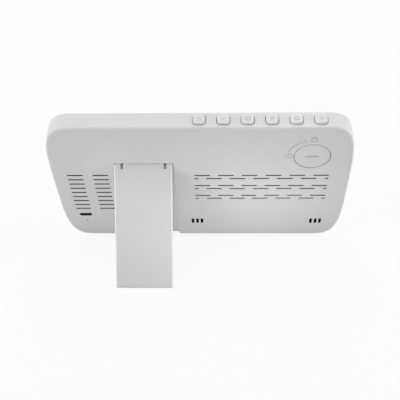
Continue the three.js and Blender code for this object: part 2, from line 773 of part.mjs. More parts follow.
function rearCover() {
  const rim = slab(outline(WALL), front - CUT_PAST, rimSeatY);
  const inside = slab(outline(sideWall), front - CUT_PAST, -WALL);
  const tub = bodyBlock().subtract(rim).subtract(inside).add(coverBosses());
  const cuts = [
    recessCuts(),
    slotCuts(),
    doorCuts(),
    socketCuts(),
    buttonCuts(),
    pilotCuts(),
    clipPockets(),
    footPockets(),
  ];
  return cuts.reduce((cover, cut) => cover.subtract(cut), tub);
}

// Front panel and display
function windowShape(inset) {
  const halfWidth = WINDOW_WIDTH / 2 - inset;
  const halfHeight = WINDOW_HEIGHT / 2 - inset;
  const [x0, x1] = [windowMiddle - halfWidth, windowMiddle + halfWidth];
  return roundedRectangle(x0, x1, middleUp - halfHeight, middleUp + halfHeight, WINDOW_RADIUS - inset);
}

const ledgeScrewUp = LEDGE_UP + LEDGE_THICK / 2;
const ledgeScrewSpots = [-1, 1].map((side) => [chargeX + side * LEDGE_SCREW_SPREAD, ledgeScrewUp]);

function frontPanel() {
  const plate = slab(outline(WALL + SLIP), panelFront, panelBack);
  const rebate = slab(windowShape(0), panelFront - CUT_PAST, panelFront + LENS_THICK + SEAT);
  const opening = slab(windowShape(WINDOW_REBATE), panelFront, panelBack + CUT_PAST);
  const holes = screwHoles(ledgeScrewSpots, panelFront - CUT_PAST, panelBack + CUT_PAST);
  const armRoot = panelBack - PANEL_THICK / 2;
  const armFace = sideWall + FIT;
  const barbRoot = armFace + CLIP_THICK / 2;
  const half = CLIP_WIDTH / 2;
  const arms = clips.flatMap((clip) => [
    clipBox(clip, half, armFace, armFace + CLIP_THICK, armRoot, clipEnd),
    clipBox(clip, half, armFace - BARB_REACH, barbRoot, clipEnd - BARB_LENGTH, clipEnd),
  ]);
  return join([plate, ...arms]).subtract(rebate).subtract(opening).subtract(holes);
}

const displayLens = () => slab(windowShape(SLIP), panelFront, panelFront + LENS_THICK);

function displayLayer(grow, y0, y1) {
  const halfWidth = WINDOW_WIDTH / 2 - WINDOW_REBATE + grow;
  const halfHeight = WINDOW_HEIGHT / 2 - WINDOW_REBATE + grow;
  const [x0, x1] = [windowMiddle - halfWidth, windowMiddle + halfWidth];
  return box(x0, x1, y0, y1, middleUp - halfHeight, middleUp + halfHeight);
}

const lcdPanel = () => displayLayer(LCD_OVERLAP, lcdFront, lcdBack);
const backlight = () => displayLayer(LCD_OVERLAP - BACKLIGHT_MARGIN, backlightFront, backlightBack);

// Boards and what they carry
function mainBoard() {
  const plate = box(mainLeft, mainRight, mainFront, mainBack, MAIN_BOARD_UP, mainTop);
  const holes = screwHoles(spotsOf('main_board_screw'), mainFront - CUT_PAST, mainBack + CUT_PAST);
  return plate.subtract(holes);
}

function powerBoard() {
  const top = POWER_BOARD_UP + POWER_BOARD_HEIGHT;
  const plate = box(powerLeft, powerRight, powerFront, powerBack, POWER_BOARD_UP, top);
  const holes = screwHoles(spotsOf('power_board_screw'), powerFront - CUT_PAST, powerBack + CUT_PAST);
  return plate.subtract(holes);
}

function keyBoard() {
  const half = KEY_BOARD_DEPTH / 2;
  const plate = box(keyLeft, keyRight, buttonY - half, buttonY + half, keyBottom, keyTop);
  const holes = keyScrewXs.map((x) =>
    barZ(SCREW_RADIUS + SLIP, keyBottom - CUT_PAST, keyTop + CUT_PAST, x, buttonY, SCREW_SIDES));
  return plate.subtract(join(holes));
}

function keySwitch(x) {
  const half = SWITCH_SIZE / 2;
  const bodyTop = switchBottom + SWITCH_BODY;
  const body = box(x - half, x + half, buttonY - half, buttonY + half, switchBottom, bodyTop);
  return body.add(barZ(SWITCH_PLUNGER_RADIUS, switchBottom, plungerTop, x, buttonY, POST_SIDES));
}

function keyRibbon() {
  const half = RIBBON_WIDTH / 2;
  const y0 = mainBack + SEAT;
  return box(ribbonX - half, ribbonX + half, y0, y0 + RIBBON_THICK, mainTop - RIBBON_LAP, keyBottom - SEAT);
}

function buzzer() {
  const y0 = mainBack + SEAT;
  return barY(BUZZER_RADIUS, y0, y0 + BUZZER_THICK, left + BUZZER_FROM_SIDE, SOUND_UP, POST_SIDES);
}

function temperatureSensor() {
  const x = left + SENSOR_FROM_SIDE;
  const half = SENSOR_SIZE / 2;
  const y0 = mainBack + SEAT;
  return box(x - half, x + half, y0, y0 + SENSOR_THICK, SOUND_UP - half, SOUND_UP + half);
}

function usbShell() {
  const halfWidth = USB_SHELL_WIDTH / 2;
  const bore = halfWidth - USB_SHELL_WALL;
  const boreHeight = USB_SHELL_HEIGHT - 2 * USB_SHELL_WALL;
  const skin = levelSlot(usbX - halfWidth, usbX + halfWidth, USB_UP, USB_SHELL_HEIGHT);
  const hollow = levelSlot(usbX - bore, usbX + bore, USB_UP, boreHeight);
  const room = slab(hollow, usbBack + USB_SHELL_WALL, usbMouth + CUT_PAST);
  return slab(skin, usbBack, usbMouth).subtract(room);
}

function usbTongue() {
  const half = USB_TONGUE_WIDTH / 2;
  const halfThick = USB_TONGUE_THICK / 2;
  const root = usbBack + USB_SHELL_WALL + SEAT;
  const tip = usbMouth - USB_TONGUE_SETBACK;
  return box(usbX - half, usbX + half, root, tip, USB_UP - halfThick, USB_UP + halfThick);
}

function resetSwitch() {
  const half = RESET_SIZE / 2;
  const root = powerBack + SEAT;
  const top = root + RESET_BODY;
  const body = box(usbX - half, usbX + half, root, top, RESET_UP - half, RESET_UP + half);
  return body.add(barY(RESET_PLUNGER_RADIUS, root, top + RESET_PLUNGER, usbX, RESET_UP, POST_SIDES));
}

function powerLead() {
  const mainMiddle = (mainFront + mainBack) / 2;
  const y = Math.min(recessInside - SEAT - POWER_LEAD_RADIUS, mainMiddle);
  const boardY = powerBack + SEAT + POWER_LEAD_RADIUS;
  return lead([
    [mainRight + SLIP, mainMiddle, POWER_LEAD_UP],
    [standX - recessHalf, y, POWER_LEAD_UP],
    [standX + recessHalf, y, POWER_LEAD_UP],
    [powerLeft, boardY, POWER_LEAD_UP],
    [powerLeft + POWER_LEAD_LAP, boardY, POWER_LEAD_UP],
  ], POWER_LEAD_RADIUS);
}

// Charging half
const chargingCoil = () => ring(COIL_BORE_RADIUS, COIL_RADIUS, coilFront, coilBack, chargeX, CHARGE_UP);
const ferriteSheet = () => barY(FERRITE_RADIUS, ferriteFront, ferriteBack, chargeX, CHARGE_UP, ROUND_STEPS);
const chargingPad = () =>
  barY(PAD_RADIUS, panelFront - SEAT - PAD_THICK, panelFront - SEAT, chargeX, CHARGE_UP, ROUND_STEPS);

function coilCarrier() {
  const [x0, x1] = [chargeX - CARRIER_WIDTH / 2, chargeX + CARRIER_WIDTH / 2];
  const [z0, z1] = [CHARGE_UP - CARRIER_HEIGHT / 2, CHARGE_UP + CARRIER_HEIGHT / 2];
  const plate = box(x0, x1, carrierFront, carrierBack, z0, z1);
  const holes = screwHoles(spotsOf('coil_screw'), carrierFront - CUT_PAST, carrierBack + CUT_PAST);
  return plate.subtract(holes);
}

function coilLead() {
  const angle = radians(COIL_LEAD_ANGLE);
  const reach = COIL_RADIUS + FIT + COIL_LEAD_RADIUS;
  const coilY = (coilFront + coilBack) / 2;
  const boardTop = POWER_BOARD_UP + POWER_BOARD_HEIGHT;
  const boardY = powerFront - SEAT - COIL_LEAD_RADIUS;
  const start = [chargeX + reach * Math.cos(angle), coilY, CHARGE_UP + reach * Math.sin(angle)];
  const landing = powerLeft + COIL_LEAD_LAP;
  return lead([
    start,
    [(start[0] + landing) / 2, coilY, (start[2] + boardTop) / 2],
    [landing, boardY, boardTop],
    [landing, boardY, boardTop - COIL_LEAD_LAP],
  ], COIL_LEAD_RADIUS);
}

// Phone ledge
const ledgeRoot = panelFront - SEAT;
const ledgeTop = LEDGE_UP + LEDGE_THICK;
const ledgeLipFace = ledgeRoot - LEDGE_DEPTH + LIP_THICK;

function phoneLedge() {
  const lipTop = ledgeTop + LIP_HEIGHT;
  const half = LEDGE_WIDTH / 2;
  const section = [
    [ledgeRoot, LEDGE_UP],
    [ledgeRoot, ledgeTop],
    [ledgeLipFace, ledgeTop],
    [ledgeLipFace, lipTop],
    [ledgeRoot - LEDGE_DEPTH, lipTop],
    [ledgeRoot - LEDGE_DEPTH, LEDGE_UP],
  ];
  const pilots = ledgeScrewSpots.map(([x, z]) =>
    barY(SCREW_RADIUS + PILOT_GAP, ledgeRoot - SCREW_GRIP - FIT, ledgeRoot + CUT_PAST, x, z, SCREW_SIDES));
  return beam(section, chargeX - half, chargeX + half).subtract(join(pilots));
}

function ledgePad() {
  const half = LEDGE_WIDTH / 2 - LEDGE_PAD_MARGIN;
  const y0 = ledgeLipFace + LEDGE_PAD_MARGIN;
  const y1 = ledgeRoot - LEDGE_PAD_MARGIN;
  return box(chargeX - half, chargeX + half, y0, y1, ledgeTop + SEAT, ledgeTop + SEAT + LEDGE_PAD_THICK);
}

// Battery
function batteryDoor() {
  const disc = barY(doorRadius, doorFront, doorBack, doorX, doorZ, ROUND_STEPS);
  const neck = ring(neckBore, neckRadius, lugFront, doorFront + DOOR_THICK / 2, doorX, doorZ);
  const halfLug = LUG_WIDTH / 2;
  const [x0, x1] = [doorX - lugRadius, doorX + lugRadius];
  const lugBand = box(x0, x1, lugFront, lugBack, doorZ - halfLug, doorZ + halfLug);
  const lugRing = ring(neckBore + DOOR_NECK_WALL / 2, lugRadius, lugFront, lugBack, doorX, doorZ);
  const halfSlit = DOOR_SLIT_LENGTH / 2;
  const slitShape = levelSlot(doorX - halfSlit, doorX + halfSlit, doorZ, DOOR_SLIT_WIDTH);
  const slit = slab(slitShape, doorBack - DOOR_SLIT_DEPTH, CUT_PAST);
  return join([disc, neck, lugRing.intersect(lugBand)]).subtract(slit);
}

function coinCell() {
  const profile = [
    [0, cellFront],
    [CELL_RADIUS - CELL_EDGE, cellFront],
    [CELL_RADIUS, cellFront + CELL_EDGE],
    [CELL_RADIUS, cellBack],
    [0, cellBack],
  ];
  return turned(profile, doorX, doorZ, ROUND_STEPS);
}

function batteryHolder() {
  const floor = barY(cupRadius, cupFloorFront, cupFloorBack, doorX, doorZ, ROUND_STEPS);
  const wall = ring(cupBore, cupRadius, cupFloorFront, ledgeFront - SEAT, doorX, doorZ);
  const ears = earSpots.map(([x, z]) => {
    const reach = new THREE.Vector2(x - doorX, z - doorZ);
    const geometry = new THREE.BoxGeometry(reach.length(), HOLDER_FLOOR, 2 * HOLDER_EAR_RADIUS);
    geometry.translate(reach.length() / 2, 0, 0);
    geometry.rotateY(-reach.angle());
    geometry.translate(doorX, (cupFloorFront + cupFloorBack) / 2, doorZ);
    const end = barY(HOLDER_EAR_RADIUS, cupFloorFront, cupFloorBack, x, z, POST_SIDES);
    return toSolid(geometry).add(end);
  });
  const holes = screwHoles(earSpots, cupFloorFront - CUT_PAST, cupFloorBack + CUT_PAST);
  return join([floor, wall, ...ears]).subtract(holes);
}

function negativeContact() {
  const [x0, x1] = [doorX - CONTACT_LENGTH / 2, doorX + CONTACT_LENGTH / 2];
  const halfWidth = CONTACT_WIDTH / 2;
  const y0 = cupFloorBack + SEAT;
  return box(x0, x1, y0, y0 + CONTACT_THICK, doorZ - halfWidth, doorZ + halfWidth);
}

function positiveContact() {
  const [x0, x1] = [doorX - CONTACT_WIDTH / 2, doorX + CONTACT_WIDTH / 2];
  const rim = doorZ - CELL_RADIUS - SEAT;
  const y0 = cupFloorBack + SEAT;
  const blade = box(x0, x1, y0, lugFront - FIT, rim - CONTACT_THICK, rim);
  const base = box(x0, x1, y0, y0 + CONTACT_THICK, doorZ - cupBore + FIT, rim);
  return blade.add(base);
}

// Buttons
function button(x) {
  const capTop = BODY_HEIGHT + BUTTON_PROUD;
  const geometry = new THREE.ExtrudeGeometry(buttonOpening(x, 0), {
    depth: capTop - flangeBottom - 2 * BUTTON_EDGE,
    curveSegments: BUTTON_ARC_STEPS,
    bevelThickness: BUTTON_EDGE,
    bevelSize: BUTTON_EDGE,
    bevelOffset: -BUTTON_EDGE,
    bevelSegments: 1,
  });
  geometry.translate(0, 0, flangeBottom + BUTTON_EDGE);
  const half = BUTTON_SIZE / 2;
  const wide = half + BUTTON_FLANGE;
  const flange = box(x - wide, x + wide, buttonY - half, buttonY + half, flangeBottom, flangeTop);
  const stem = barZ(BUTTON_STEM_RADIUS, stemBottom, flangeTop, x, buttonY, POST_SIDES);
  return join([toSolid(geometry), flange, stem]);
}

// Stand, drawn closed about its hinge line
function standPanel() {
  const half = STAND_WIDTH / 2;
  const slitOuter = half - STAND_EAR;
  const slitInner = slitOuter - STAND_SLIT_WIDTH;
  const slitFloor = STAND_HEEL - STAND_SLIT_LENGTH;
  const lowest = standLevel(STAND_THICK / 2, -CUT_PAST);
  const notched = [
    [half - STAND_TAPER, lowest],
    [half, STAND_HEEL],
    [slitOuter, STAND_HEEL],
    [slitOuter, slitFloor],
    [slitInner, slitFloor],
    [slitInner, STAND_HEEL],
  ];
  const mirrored = notched.map(([x, z]) => [-x, z]).reverse();
  const shape = new THREE.Shape([...notched, ...mirrored].map(([x, z]) => new THREE.Vector2(x, z)));
  const plate = slab(shape, -STAND_THICK / 2, STAND_THICK / 2, { bevel: STAND_EDGE });
  const reach = half + TRUNNION_LENGTH;
  const root = half - TRUNNION_ROOT;
  const trunnions = [[root, reach], [-reach, -root]].map(([x0, x1]) =>
    barX(TRUNNION_RADIUS, x0, x1, 0, 0, TRUNNION_SIDES));
  const past = STAND_THICK / 2 + CUT_PAST;
  const end = SOLE_THICK + SEAT;
  const below = lowest - CUT_PAST;
  const offcut = [
    [-past, below],
    [past, below],
    [past, standLevel(past, end)],
    [-past, standLevel(-past, end)],
  ];
  return join([plate, ...trunnions]).subtract(beam(offcut, -reach, reach));
}

// The rubber sole under the stand's end, which is cut level with the table
function standFoot() {
  const half = STAND_WIDTH / 2 - STAND_TAPER - SOLE_MARGIN;
  const y = STAND_THICK / 2 - SOLE_EDGE;
  const section = [
    [-y, standLevel(-y, 0)],
    [y, standLevel(y, 0)],
    [y, standLevel(y, SOLE_THICK)],
    [-y, standLevel(-y, SOLE_THICK)],
  ];
  return beam(section, -half, half);
}

function bodyFoot(side) {
  const x = side * FOOT_FROM_MIDDLE;
  const half = FOOT_LENGTH / 2;
  const top = FOOT_POCKET - SEAT;
  const section = [
    [FOOT_FRONT, tableUnderBody(FOOT_FRONT)],
    [FOOT_BACK, tableUnderBody(FOOT_BACK)],
    [FOOT_BACK, top],
    [FOOT_FRONT, top],
  ];
  return beam(section, x - half, x + half);
}

// Materials
function finish(color, roughness, metalness = 0) {
  return new THREE.MeshStandardMaterial({ color, roughness, metalness });
}

const whitePlastic = () => finish(0xdcdcdc, 0.55);
const greyRubber = () => finish(0xb9b9b9, 0.8);
const darkLens = () => finish(0x101214, 0.1);
const glassGrey = () => finish(0x6d746f, 0.2);
const diffuserWhite = () => finish(0xf2f2ee, 0.6);
const boardGreen = () => finish(0x1f5a3a, 0.5);
const switchBlack = () => finish(0x1b1b1d, 0.5);
const ribbonOrange = () => finish(0xc08a3a, 0.5);
const leadRed = () => finish(0x8c2a24, 0.5);
const copper = () => finish(0xb87333, 0.35, 1);
const ferriteGrey = () => finish(0x2d2d30, 0.7);
const steel = () => finish(0xb8babd, 0.3, 1);
const brass = () => finish(0xc9a75a, 0.35, 1);

// Assembly
const clock = new THREE.Group();
const body = new THREE.Group();
body.rotation.x = -lean;
const stand = new THREE.Group();
stand.position.set(standX, hingeY, hingeZ);
stand.rotation.x = open;
body.add(stand);
clock.add(body);

function place(group, name, solid, material) {
  const mesh = new THREE.Mesh(toGeometry(solid), material);
  mesh.name = name;
  group.add(mesh);
  return mesh;
}

place(body, 'rear_cover', rearCover(), whitePlastic());
place(body, 'front_panel', frontPanel(), whitePlastic());
place(body, 'display_lens', displayLens(), darkLens());
place(body, 'lcd_panel', lcdPanel(), glassGrey());
place(body, 'backlight', backlight(), diffuserWhite());
place(body, 'main_board', mainBoard(), boardGreen());
place(body, 'power_board', powerBoard(), boardGreen());
place(body, 'key_board', keyBoard(), boardGreen());
place(body, 'key_ribbon', keyRibbon(), ribbonOrange());
place(body, 'buzzer', buzzer(), switchBlack());
place(body, 'temperature_sensor', temperatureSensor(), switchBlack());
place(body, 'usb_shell', usbShell(), steel());
place(body, 'usb_tongue', usbTongue(), switchBlack());
place(body, 'reset_switch', resetSwitch(), switchBlack());
place(body, 'power_lead', powerLead(), leadRed());
place(body, 'charging_coil', chargingCoil(), copper());
place(body, 'ferrite_sheet', ferriteSheet(), ferriteGrey());
place(body, 'coil_carrier', coilCarrier(), whitePlastic());
place(body, 'coil_lead', coilLead(), copper());
place(body, 'charging_pad', chargingPad(), greyRubber());
place(body, 'phone_ledge', phoneLedge(), whitePlastic());
place(body, 'ledge_pad', ledgePad(), greyRubber());
place(body, 'battery_holder', batteryHolder(), switchBlack());
place(body, 'battery_positive_contact', positiveContact(), brass());
place(body, 'battery_negative_contact', negativeContact(), brass());
place(body, 'coin_cell', coinCell(), steel());
place(body, 'battery_door', batteryDoor(), whitePlastic());
place(body, 'foot_left', bodyFoot(-1), greyRubber());
place(body, 'foot_right', bodyFoot(1), greyRubber());
place(stand, 'stand_panel', standPanel(), whitePlastic());
place(stand, 'stand_foot', standFoot(), greyRubber());

buttonXs.forEach((x, i) => {
  place(body, `key_switch_${i + 1}`, keySwitch(x), switchBlack());
  place(body, `button_${i + 1}`, button(x), whitePlastic());
});

for (const { name, spots, face, back } of fastenings) {
  const shank = back - face + 2 * SEAT + SCREW_GRIP;
  spots.forEach(([x, z], i) => {
    const mesh = place(body, `${name}_${i + 1}`, screw(shank), steel());
    mesh.position.set(x, face - SEAT, z);
  });
}

keyScrewXs.forEach((x, i) => {
  const mesh = place(body, `key_board_screw_${i + 1}`, screw(BOARD_THICK + 2 * SEAT + SCREW_GRIP), steel());
  mesh.position.set(x, buttonY, keyTop + SEAT);
  mesh.rotation.x = -Math.PI / 2;
});

ledgeScrewSpots.forEach(([x, z], i) => {
  const mesh = place(body, `ledge_screw_${i + 1}`, screw(PANEL_THICK + 2 * SEAT + SCREW_GRIP), steel());
  mesh.position.set(x, panelBack + SEAT, z);
  mesh.rotation.x = Math.PI;
});

// The origin is on the table, under the middle of the clock's box
body.position.z = lift;
clock.updateMatrixWorld(true);
const bounds = new THREE.Box3().setFromObject(clock, true);
body.position.y = -(bounds.min.y + bounds.max.y) / 2;

export default clock;
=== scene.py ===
import json
from math import cos, hypot, pi, radians, sin

import bmesh
import bpy
from mathutils import Euler, Matrix, Vector


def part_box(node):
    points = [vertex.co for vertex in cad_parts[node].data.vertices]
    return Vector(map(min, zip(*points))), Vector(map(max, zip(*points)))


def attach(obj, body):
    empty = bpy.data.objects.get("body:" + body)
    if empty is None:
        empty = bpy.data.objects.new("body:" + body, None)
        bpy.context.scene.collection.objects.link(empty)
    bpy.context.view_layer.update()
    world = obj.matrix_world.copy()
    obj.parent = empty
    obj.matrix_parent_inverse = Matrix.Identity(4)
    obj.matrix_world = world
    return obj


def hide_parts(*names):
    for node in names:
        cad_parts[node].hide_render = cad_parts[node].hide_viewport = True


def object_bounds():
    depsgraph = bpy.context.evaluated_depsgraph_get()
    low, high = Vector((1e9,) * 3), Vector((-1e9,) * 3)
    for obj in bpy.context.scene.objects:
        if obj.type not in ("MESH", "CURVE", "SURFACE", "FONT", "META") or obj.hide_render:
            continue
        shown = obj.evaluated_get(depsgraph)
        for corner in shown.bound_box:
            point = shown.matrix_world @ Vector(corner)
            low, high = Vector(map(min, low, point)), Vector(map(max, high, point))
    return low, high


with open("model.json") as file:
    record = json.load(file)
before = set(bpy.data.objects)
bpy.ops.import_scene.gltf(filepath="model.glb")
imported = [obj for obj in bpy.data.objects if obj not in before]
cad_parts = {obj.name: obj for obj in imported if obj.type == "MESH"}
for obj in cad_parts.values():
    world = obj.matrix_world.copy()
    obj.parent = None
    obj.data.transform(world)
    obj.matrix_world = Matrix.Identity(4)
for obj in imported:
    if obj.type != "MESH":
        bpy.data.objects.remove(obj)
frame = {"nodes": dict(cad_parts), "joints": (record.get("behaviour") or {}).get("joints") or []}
CAD_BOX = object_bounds()

# Camera of the photograph: its place beside the upright body, its turn in degrees and its lens
CAMERA_PLACE = (-17.821, 315.047, 486.979)
CAMERA_TURN = (61.20845, 1.02391, -178.29305)
CAMERA_LENS = 66.7017
CAMERA_SENSOR = 36.0
CAMERA_NEAR = 0.01

# Floor, in metres, and how far it is lost in the white round it, beside the object
FLOOR_HALF = 3.0
FLOOR_DROP = 0.0002
FLOOR_GREY = 0.9
FLOOR_WHITE = 0.88
FADE_START = 0.3
FADE_END = 0.9

# Soft boxes, in metres: place, aim, size and power
SOFT_BOXES = {
    "soft_above": ((0, 0.1, 1.1), (0, 0, 0.06), (1.2, 1.2), 7.2),
    "soft_front": ((0, -0.7, 0.8), (0, 0, 0.06), (0.8, 0.8), 3.8),
    "left_high": ((0.6, 0.55, 0.75), (0.02, 0, 0.06), (0.4, 0.4), 0.48),
    "left_key": ((0.7, 0.6, 0.38), (0.02, 0, 0.06), (0.4, 0.4), 1.7),
    "left_far": ((2.0, 0.7, 0.5), (0, 0, 0.06), (0.8, 0.6), 7.6),
    "left_rim": ((1.1, -0.1, 0.35), (0.03, 0, 0.06), (0.6, 0.6), 2.08),
    "right_rim": ((-1.05, 0.12, 0.34), (0.03, 0, 0.06), (0.6, 0.6), 6.0),
}

# Soft spots, in metres: place, aim, cone in degrees and power
SOFT_SPOTS = {
    "top_right": ((-0.07, 0.35, 0.5), (-0.075, 0.03, 0.117), 12.0, 1.36),
    "right_of_back": ((-0.06, 0.5, 0.1), (-0.045, 0, 0.06), 20.0, 1.05),
    "left_of_back": ((0.1, 0.5, 0.12), (0.057, 0, 0.06), 14.0, 1.63),
    "left_low": ((0.09, 0.4, 0.03), (0.067, 0, 0.022), 10.0, 0.75),
    "low_fill": ((-0.01, 0.45, 0.03), (-0.01, 0, 0.04), 30.0, 0.62),
    "base_fill": ((-0.03, 0.4, 0.02), (-0.03, -0.01, 0.02), 18.0, 2.0),
}
SPOT_RADIUS = 0.05

# Pose, in degrees
LEAN = 25.6
OPEN_ANGLE = 48.5

# Edges: from which angle in degrees one counts, and how far large faces lead the shading
SHARP_ANGLE = 38.0
SOFTEN_ANGLE = 35.0
AREA_WEIGHT = 60

# CAD outlines: corners this near in metres are one, and faces this near in degrees are one
WELD = 0.000001
FLAT_ANGLE = 1.0

# Sizes in millimetres from here on
METRE = 1000.0
PAST = 2.0
FIT = 0.3
SEAT = 0.2
SLIP = 0.25
LEAST_RADIUS = 0.05
SLOT_TIP = 0.01

# Body
BODY_WIDTH = 208.6
BODY_HEIGHT = 126.0
BODY_DEPTH = 14.4
LOWER_RISE = 1.2
CORNER_WIDTH = 25.0
CORNER_HEIGHT = 62.0
CORNER_POWER = 4.0
CORNER_STEPS = 40
BACK_EDGE = 1.6
FRONT_EDGE = 1.5
WALL = 2.0
SIDE_WALL = 3.2
RIM_DEPTH = 2.3
RIM_FLOOR = RIM_DEPTH - BODY_DEPTH
POST_RADIUS = 2.3
KEY_POST_HALF = 3.0
KEY_POST_LENGTH = 8.0
PILOT_RADIUS = 1.15
SCREW_GRIP = 3.0
FOOT_EDGE = 0.35

# Front panel clips: the side they catch in, and their place along it
CLIP_WIDTH = 8.0
CLIP_REACH = 3.8
CLIP_THICK = 1.2
CLIP_ROOT = 0.9
BARB_REACH = 0.7
BARB_LENGTH = 1.0
LOWER_CLIPS = (-60.0, 0.0, 60.0)
UPPER_CLIPS = (62.0, 24.0)

# Vents, from behind, x from the middle and y up from the lower edge; columns and rows are counts and pitches
SLOT_FLARE = 0.04
VENT_FIRST = (-88.15, 76.5)
VENT_COLUMNS = (2, 18.0)
VENT_ROWS = (9, 5.02)
VENT_SIZE = (11.1, 1.28)
DASH_FIRST = (1.27, 76.1)
DASH_COUNT = 6
DASH_PITCH = 16.56
DASH_LENGTH = 11.06
DASH_WIDTH = 1.14
DASH_END_LENGTH = 2.78
DASH_PAIR_PITCH = 3.5
DASH_GROUPS = (3, 11.8)
SOUND_MIDDLES = (-3.65, 85.3)
SOUND_UP = 19.8
SOUND_COLUMNS = (3, 3.4)
SOUND_SIZE = (2.0, 6.1)
# Near-black sheets of painted shade in the slots: their top under the surface, and how far they stand in
# from the slot's sides
SHADE_SHEET_DEPTH = 0.12
SHADE_SHEET_GAP = 0.02
ONE_ROW = (1, 0.0)

# Socket and pinhole
USB_PLACE = (-87.6, 28.5)
USB_SIZE = (9.5, 3.4)
USB_EDGE = 0.1
USB_SKIN = 1.0
USB_SHELL_WALL = 0.3
USB_RELIEF = 0.6
LINER_WALL = 0.22
LINER_GAP = 0.02
LINER_TOP = -0.03
LINER_EDGE = 0.08
TONGUE_EDGE = 0.2
CONTACT_COLUMNS = (12, 0.5)
CONTACT_HALF = 0.14
CONTACT_PROUD = 0.025
CONTACT_FOOT = 0.3
CONTACT_TIP = 0.45
PINHOLE_UP = 20.8
PINHOLE_RADIUS = 0.75
PINHOLE_FLARE = 0.15

# Battery door, seen from behind
DOOR_PLACE = (76.0, 96.8)
DOOR_RADIUS = 12.0
DOOR_FLUSH = 0.1
DOOR_THICK = 1.5
DOOR_EDGE = 0.12
DOOR_FOOT_EDGE = 0.15
DOOR_GAP = 0.48
DOOR_FLARE = 0.05
DOOR_GROOVE = 0.8
DOOR_GROOVE_DEPTH = -2.9
SEAL_TOP = -2.0
SEAL_GAP = 0.02
SEAL_EDGE = 0.15
DOOR_SLIT_LENGTH = 8.6
DOOR_SLIT_WIDTH = 1.2
DOOR_SLIT_DEPTH = 0.8
DOOR_SLIT_FLARE = 0.15
NECK_BORE = 10.3
NECK_RADIUS = 11.1
LUG_RADIUS = 12.1
LUG_HALF = 3.5
LUG_LOW = -4.6
LUG_HIGH = -3.4
LUG_SPAN = 20.0
LUG_ROOM = 10.0
NOTCH_TOP = -0.5
DOOR_LEDGE_HIGH = -1.9
DOOR_LEDGE_LOW = -3.1
DOOR_BOSS_RADIUS = 13.9

# Marks beside the door, from its middle
MARK_FOOT = -0.2
MARK_PROUD = 0.16
MARK_LINE = 0.5
LINE_TOP = 0.7
LOCKED_MARK = (0.0, 17.9)
OPEN_MARK = (-16.4, 1.2)
OPEN_SWING = 1.6
LOCK_DROP = 1.0
LOCK_SIZE = (4.2, 3.0)
LOCK_CORNER = 0.5
BOW_RADIUS = 1.25
BOW_UP = 2.2
BOW_FOOT = 1.5
BOW_FREE_END = 1.8
ARC_RADIUS = 17.0
ARC_DASH = 2.0
ARC_DASHES = 6
ARC_START = 111.0
ARC_SWEEP = 48.0
ARC_STEPS = 64

# Stand, about its hinge line
STAND_X = -38.75
STAND_WIDTH = 40.6
STAND_THICK = 2.2
STAND_HEEL = 1.7
STAND_EDGE = 0.75
STAND_TRIM = 0.5
# Width of the band of painted highlight along each long edge of the stand
HIGHLIGHT_BAND = 0.8
STAND_CORNER = 2.0
STAND_EAR = 4.45
STAND_SLIT_WIDTH = 1.8
STAND_SLIT_LENGTH = 5.3
SLIT_CORNER = 0.5
SLIT_EDGE = 0.15
TRUNNION_RADIUS = 0.6
TRUNNION_LENGTH = 1.5
TRUNNION_ROOT = 2.0
SOLE_THICK = 0.6
SOLE_EDGE = 0.12
RECESS_TOP = 90.0
RECESS_SIDE = 0.2
RECESS_CORNER = 0.4
RECESS_FLOOR = -2.6
RECESS_FLARE = 0.12
HINGE_DEPTH = -1.2
WELL_LOW = -3.7
WELL_DEPTH = -8.0
RECESS_HALF = STAND_WIDTH / 2 + RECESS_SIDE
HEEL_RADIUS = hypot(STAND_THICK / 2, STAND_HEEL)
HINGE_UP = RECESS_TOP - HEEL_RADIUS - FIT
SLIT_MIDDLE = STAND_WIDTH / 2 - STAND_EAR - STAND_SLIT_WIDTH / 2

# Buttons; the crown's levels are a share of its height and how far its outline draws in
BUTTON_NUMBERS = range(1, 7)
BUTTON_SIZE = 8.35
BUTTON_RADIUS = 2.6
BUTTON_EDGE = 1.0
BUTTON_GAP = 0.38
BUTTON_FLARE = 0.06
BUTTON_ROOM = 6.0
BUTTON_CROWN = 0.12
CROWN_LEVELS = ((0.45, -1.6), (0.1, -2.8), (0.0, -3.6))
BUTTON_FLANGE = 1.2
STEM_RADIUS = 1.6
STEM_ROOT = 0.5
ICON_LINE = 0.6
ICON_FOOT = -0.2
ICON_PROUD = 0.1
ICON_SUNK = 0.02
CHEVRON_HALF = 1.5
CHEVRON_RISE = 0.8
RING_RADIUS = 1.6
RING_DOT = 0.45
BAR_HALF = 1.5
BAR_UP = 0.7
BELL_HALF = 1.2
BELL_UP = 0.1
BELL_WAIST = -0.6
BELL_BRIM = (1.6, -1.1)
SUN_RADIUS = 0.7
RAY_COUNT = 8
RAY_START = 1.1
RAY_END = 1.8
RAY_LINE = 0.4

# Front
PANEL_THICK = 1.8
PANEL_EDGE = 0.5
WINDOW_RADIUS = 5.0
WINDOW_REBATE = 2.0
WINDOW_FLARE = 0.15
LENS_EDGE = 0.2
LEDGE_HOLE = 1.25
LEDGE_EDGE = 0.9
LEDGE_LIP = 3.0
LEDGE_THICK = 5.0
SHELF_PAD_EDGE = 0.25
RIB_PITCH = 2.0
RIB_WIDTH = 0.9
RIB_HEIGHT = 0.25
RIB_ROOT = 0.1
RIB_FOOT_END = 0.6
RIB_TOP_END = 0.9
RIB_MARGIN = 2.0
PAD_EDGE = 0.3
PAD_RING_RADIUS = 22.0
PAD_RING_HALF = 0.5
PAD_RING_DEPTH = 0.25
PAD_RING_FLARE = 0.1
PAD_RING_ROOM = 1.0
PAD_RING_OVER = 3.0
BOLT = [(0.9, 7), (-3.6, -1), (-0.6, -1), (-1.2, -7), (3.6, 1.6), (0.5, 1.6)]
BOLT_FOOT = 0.2
BOLT_PROUD = 0.12

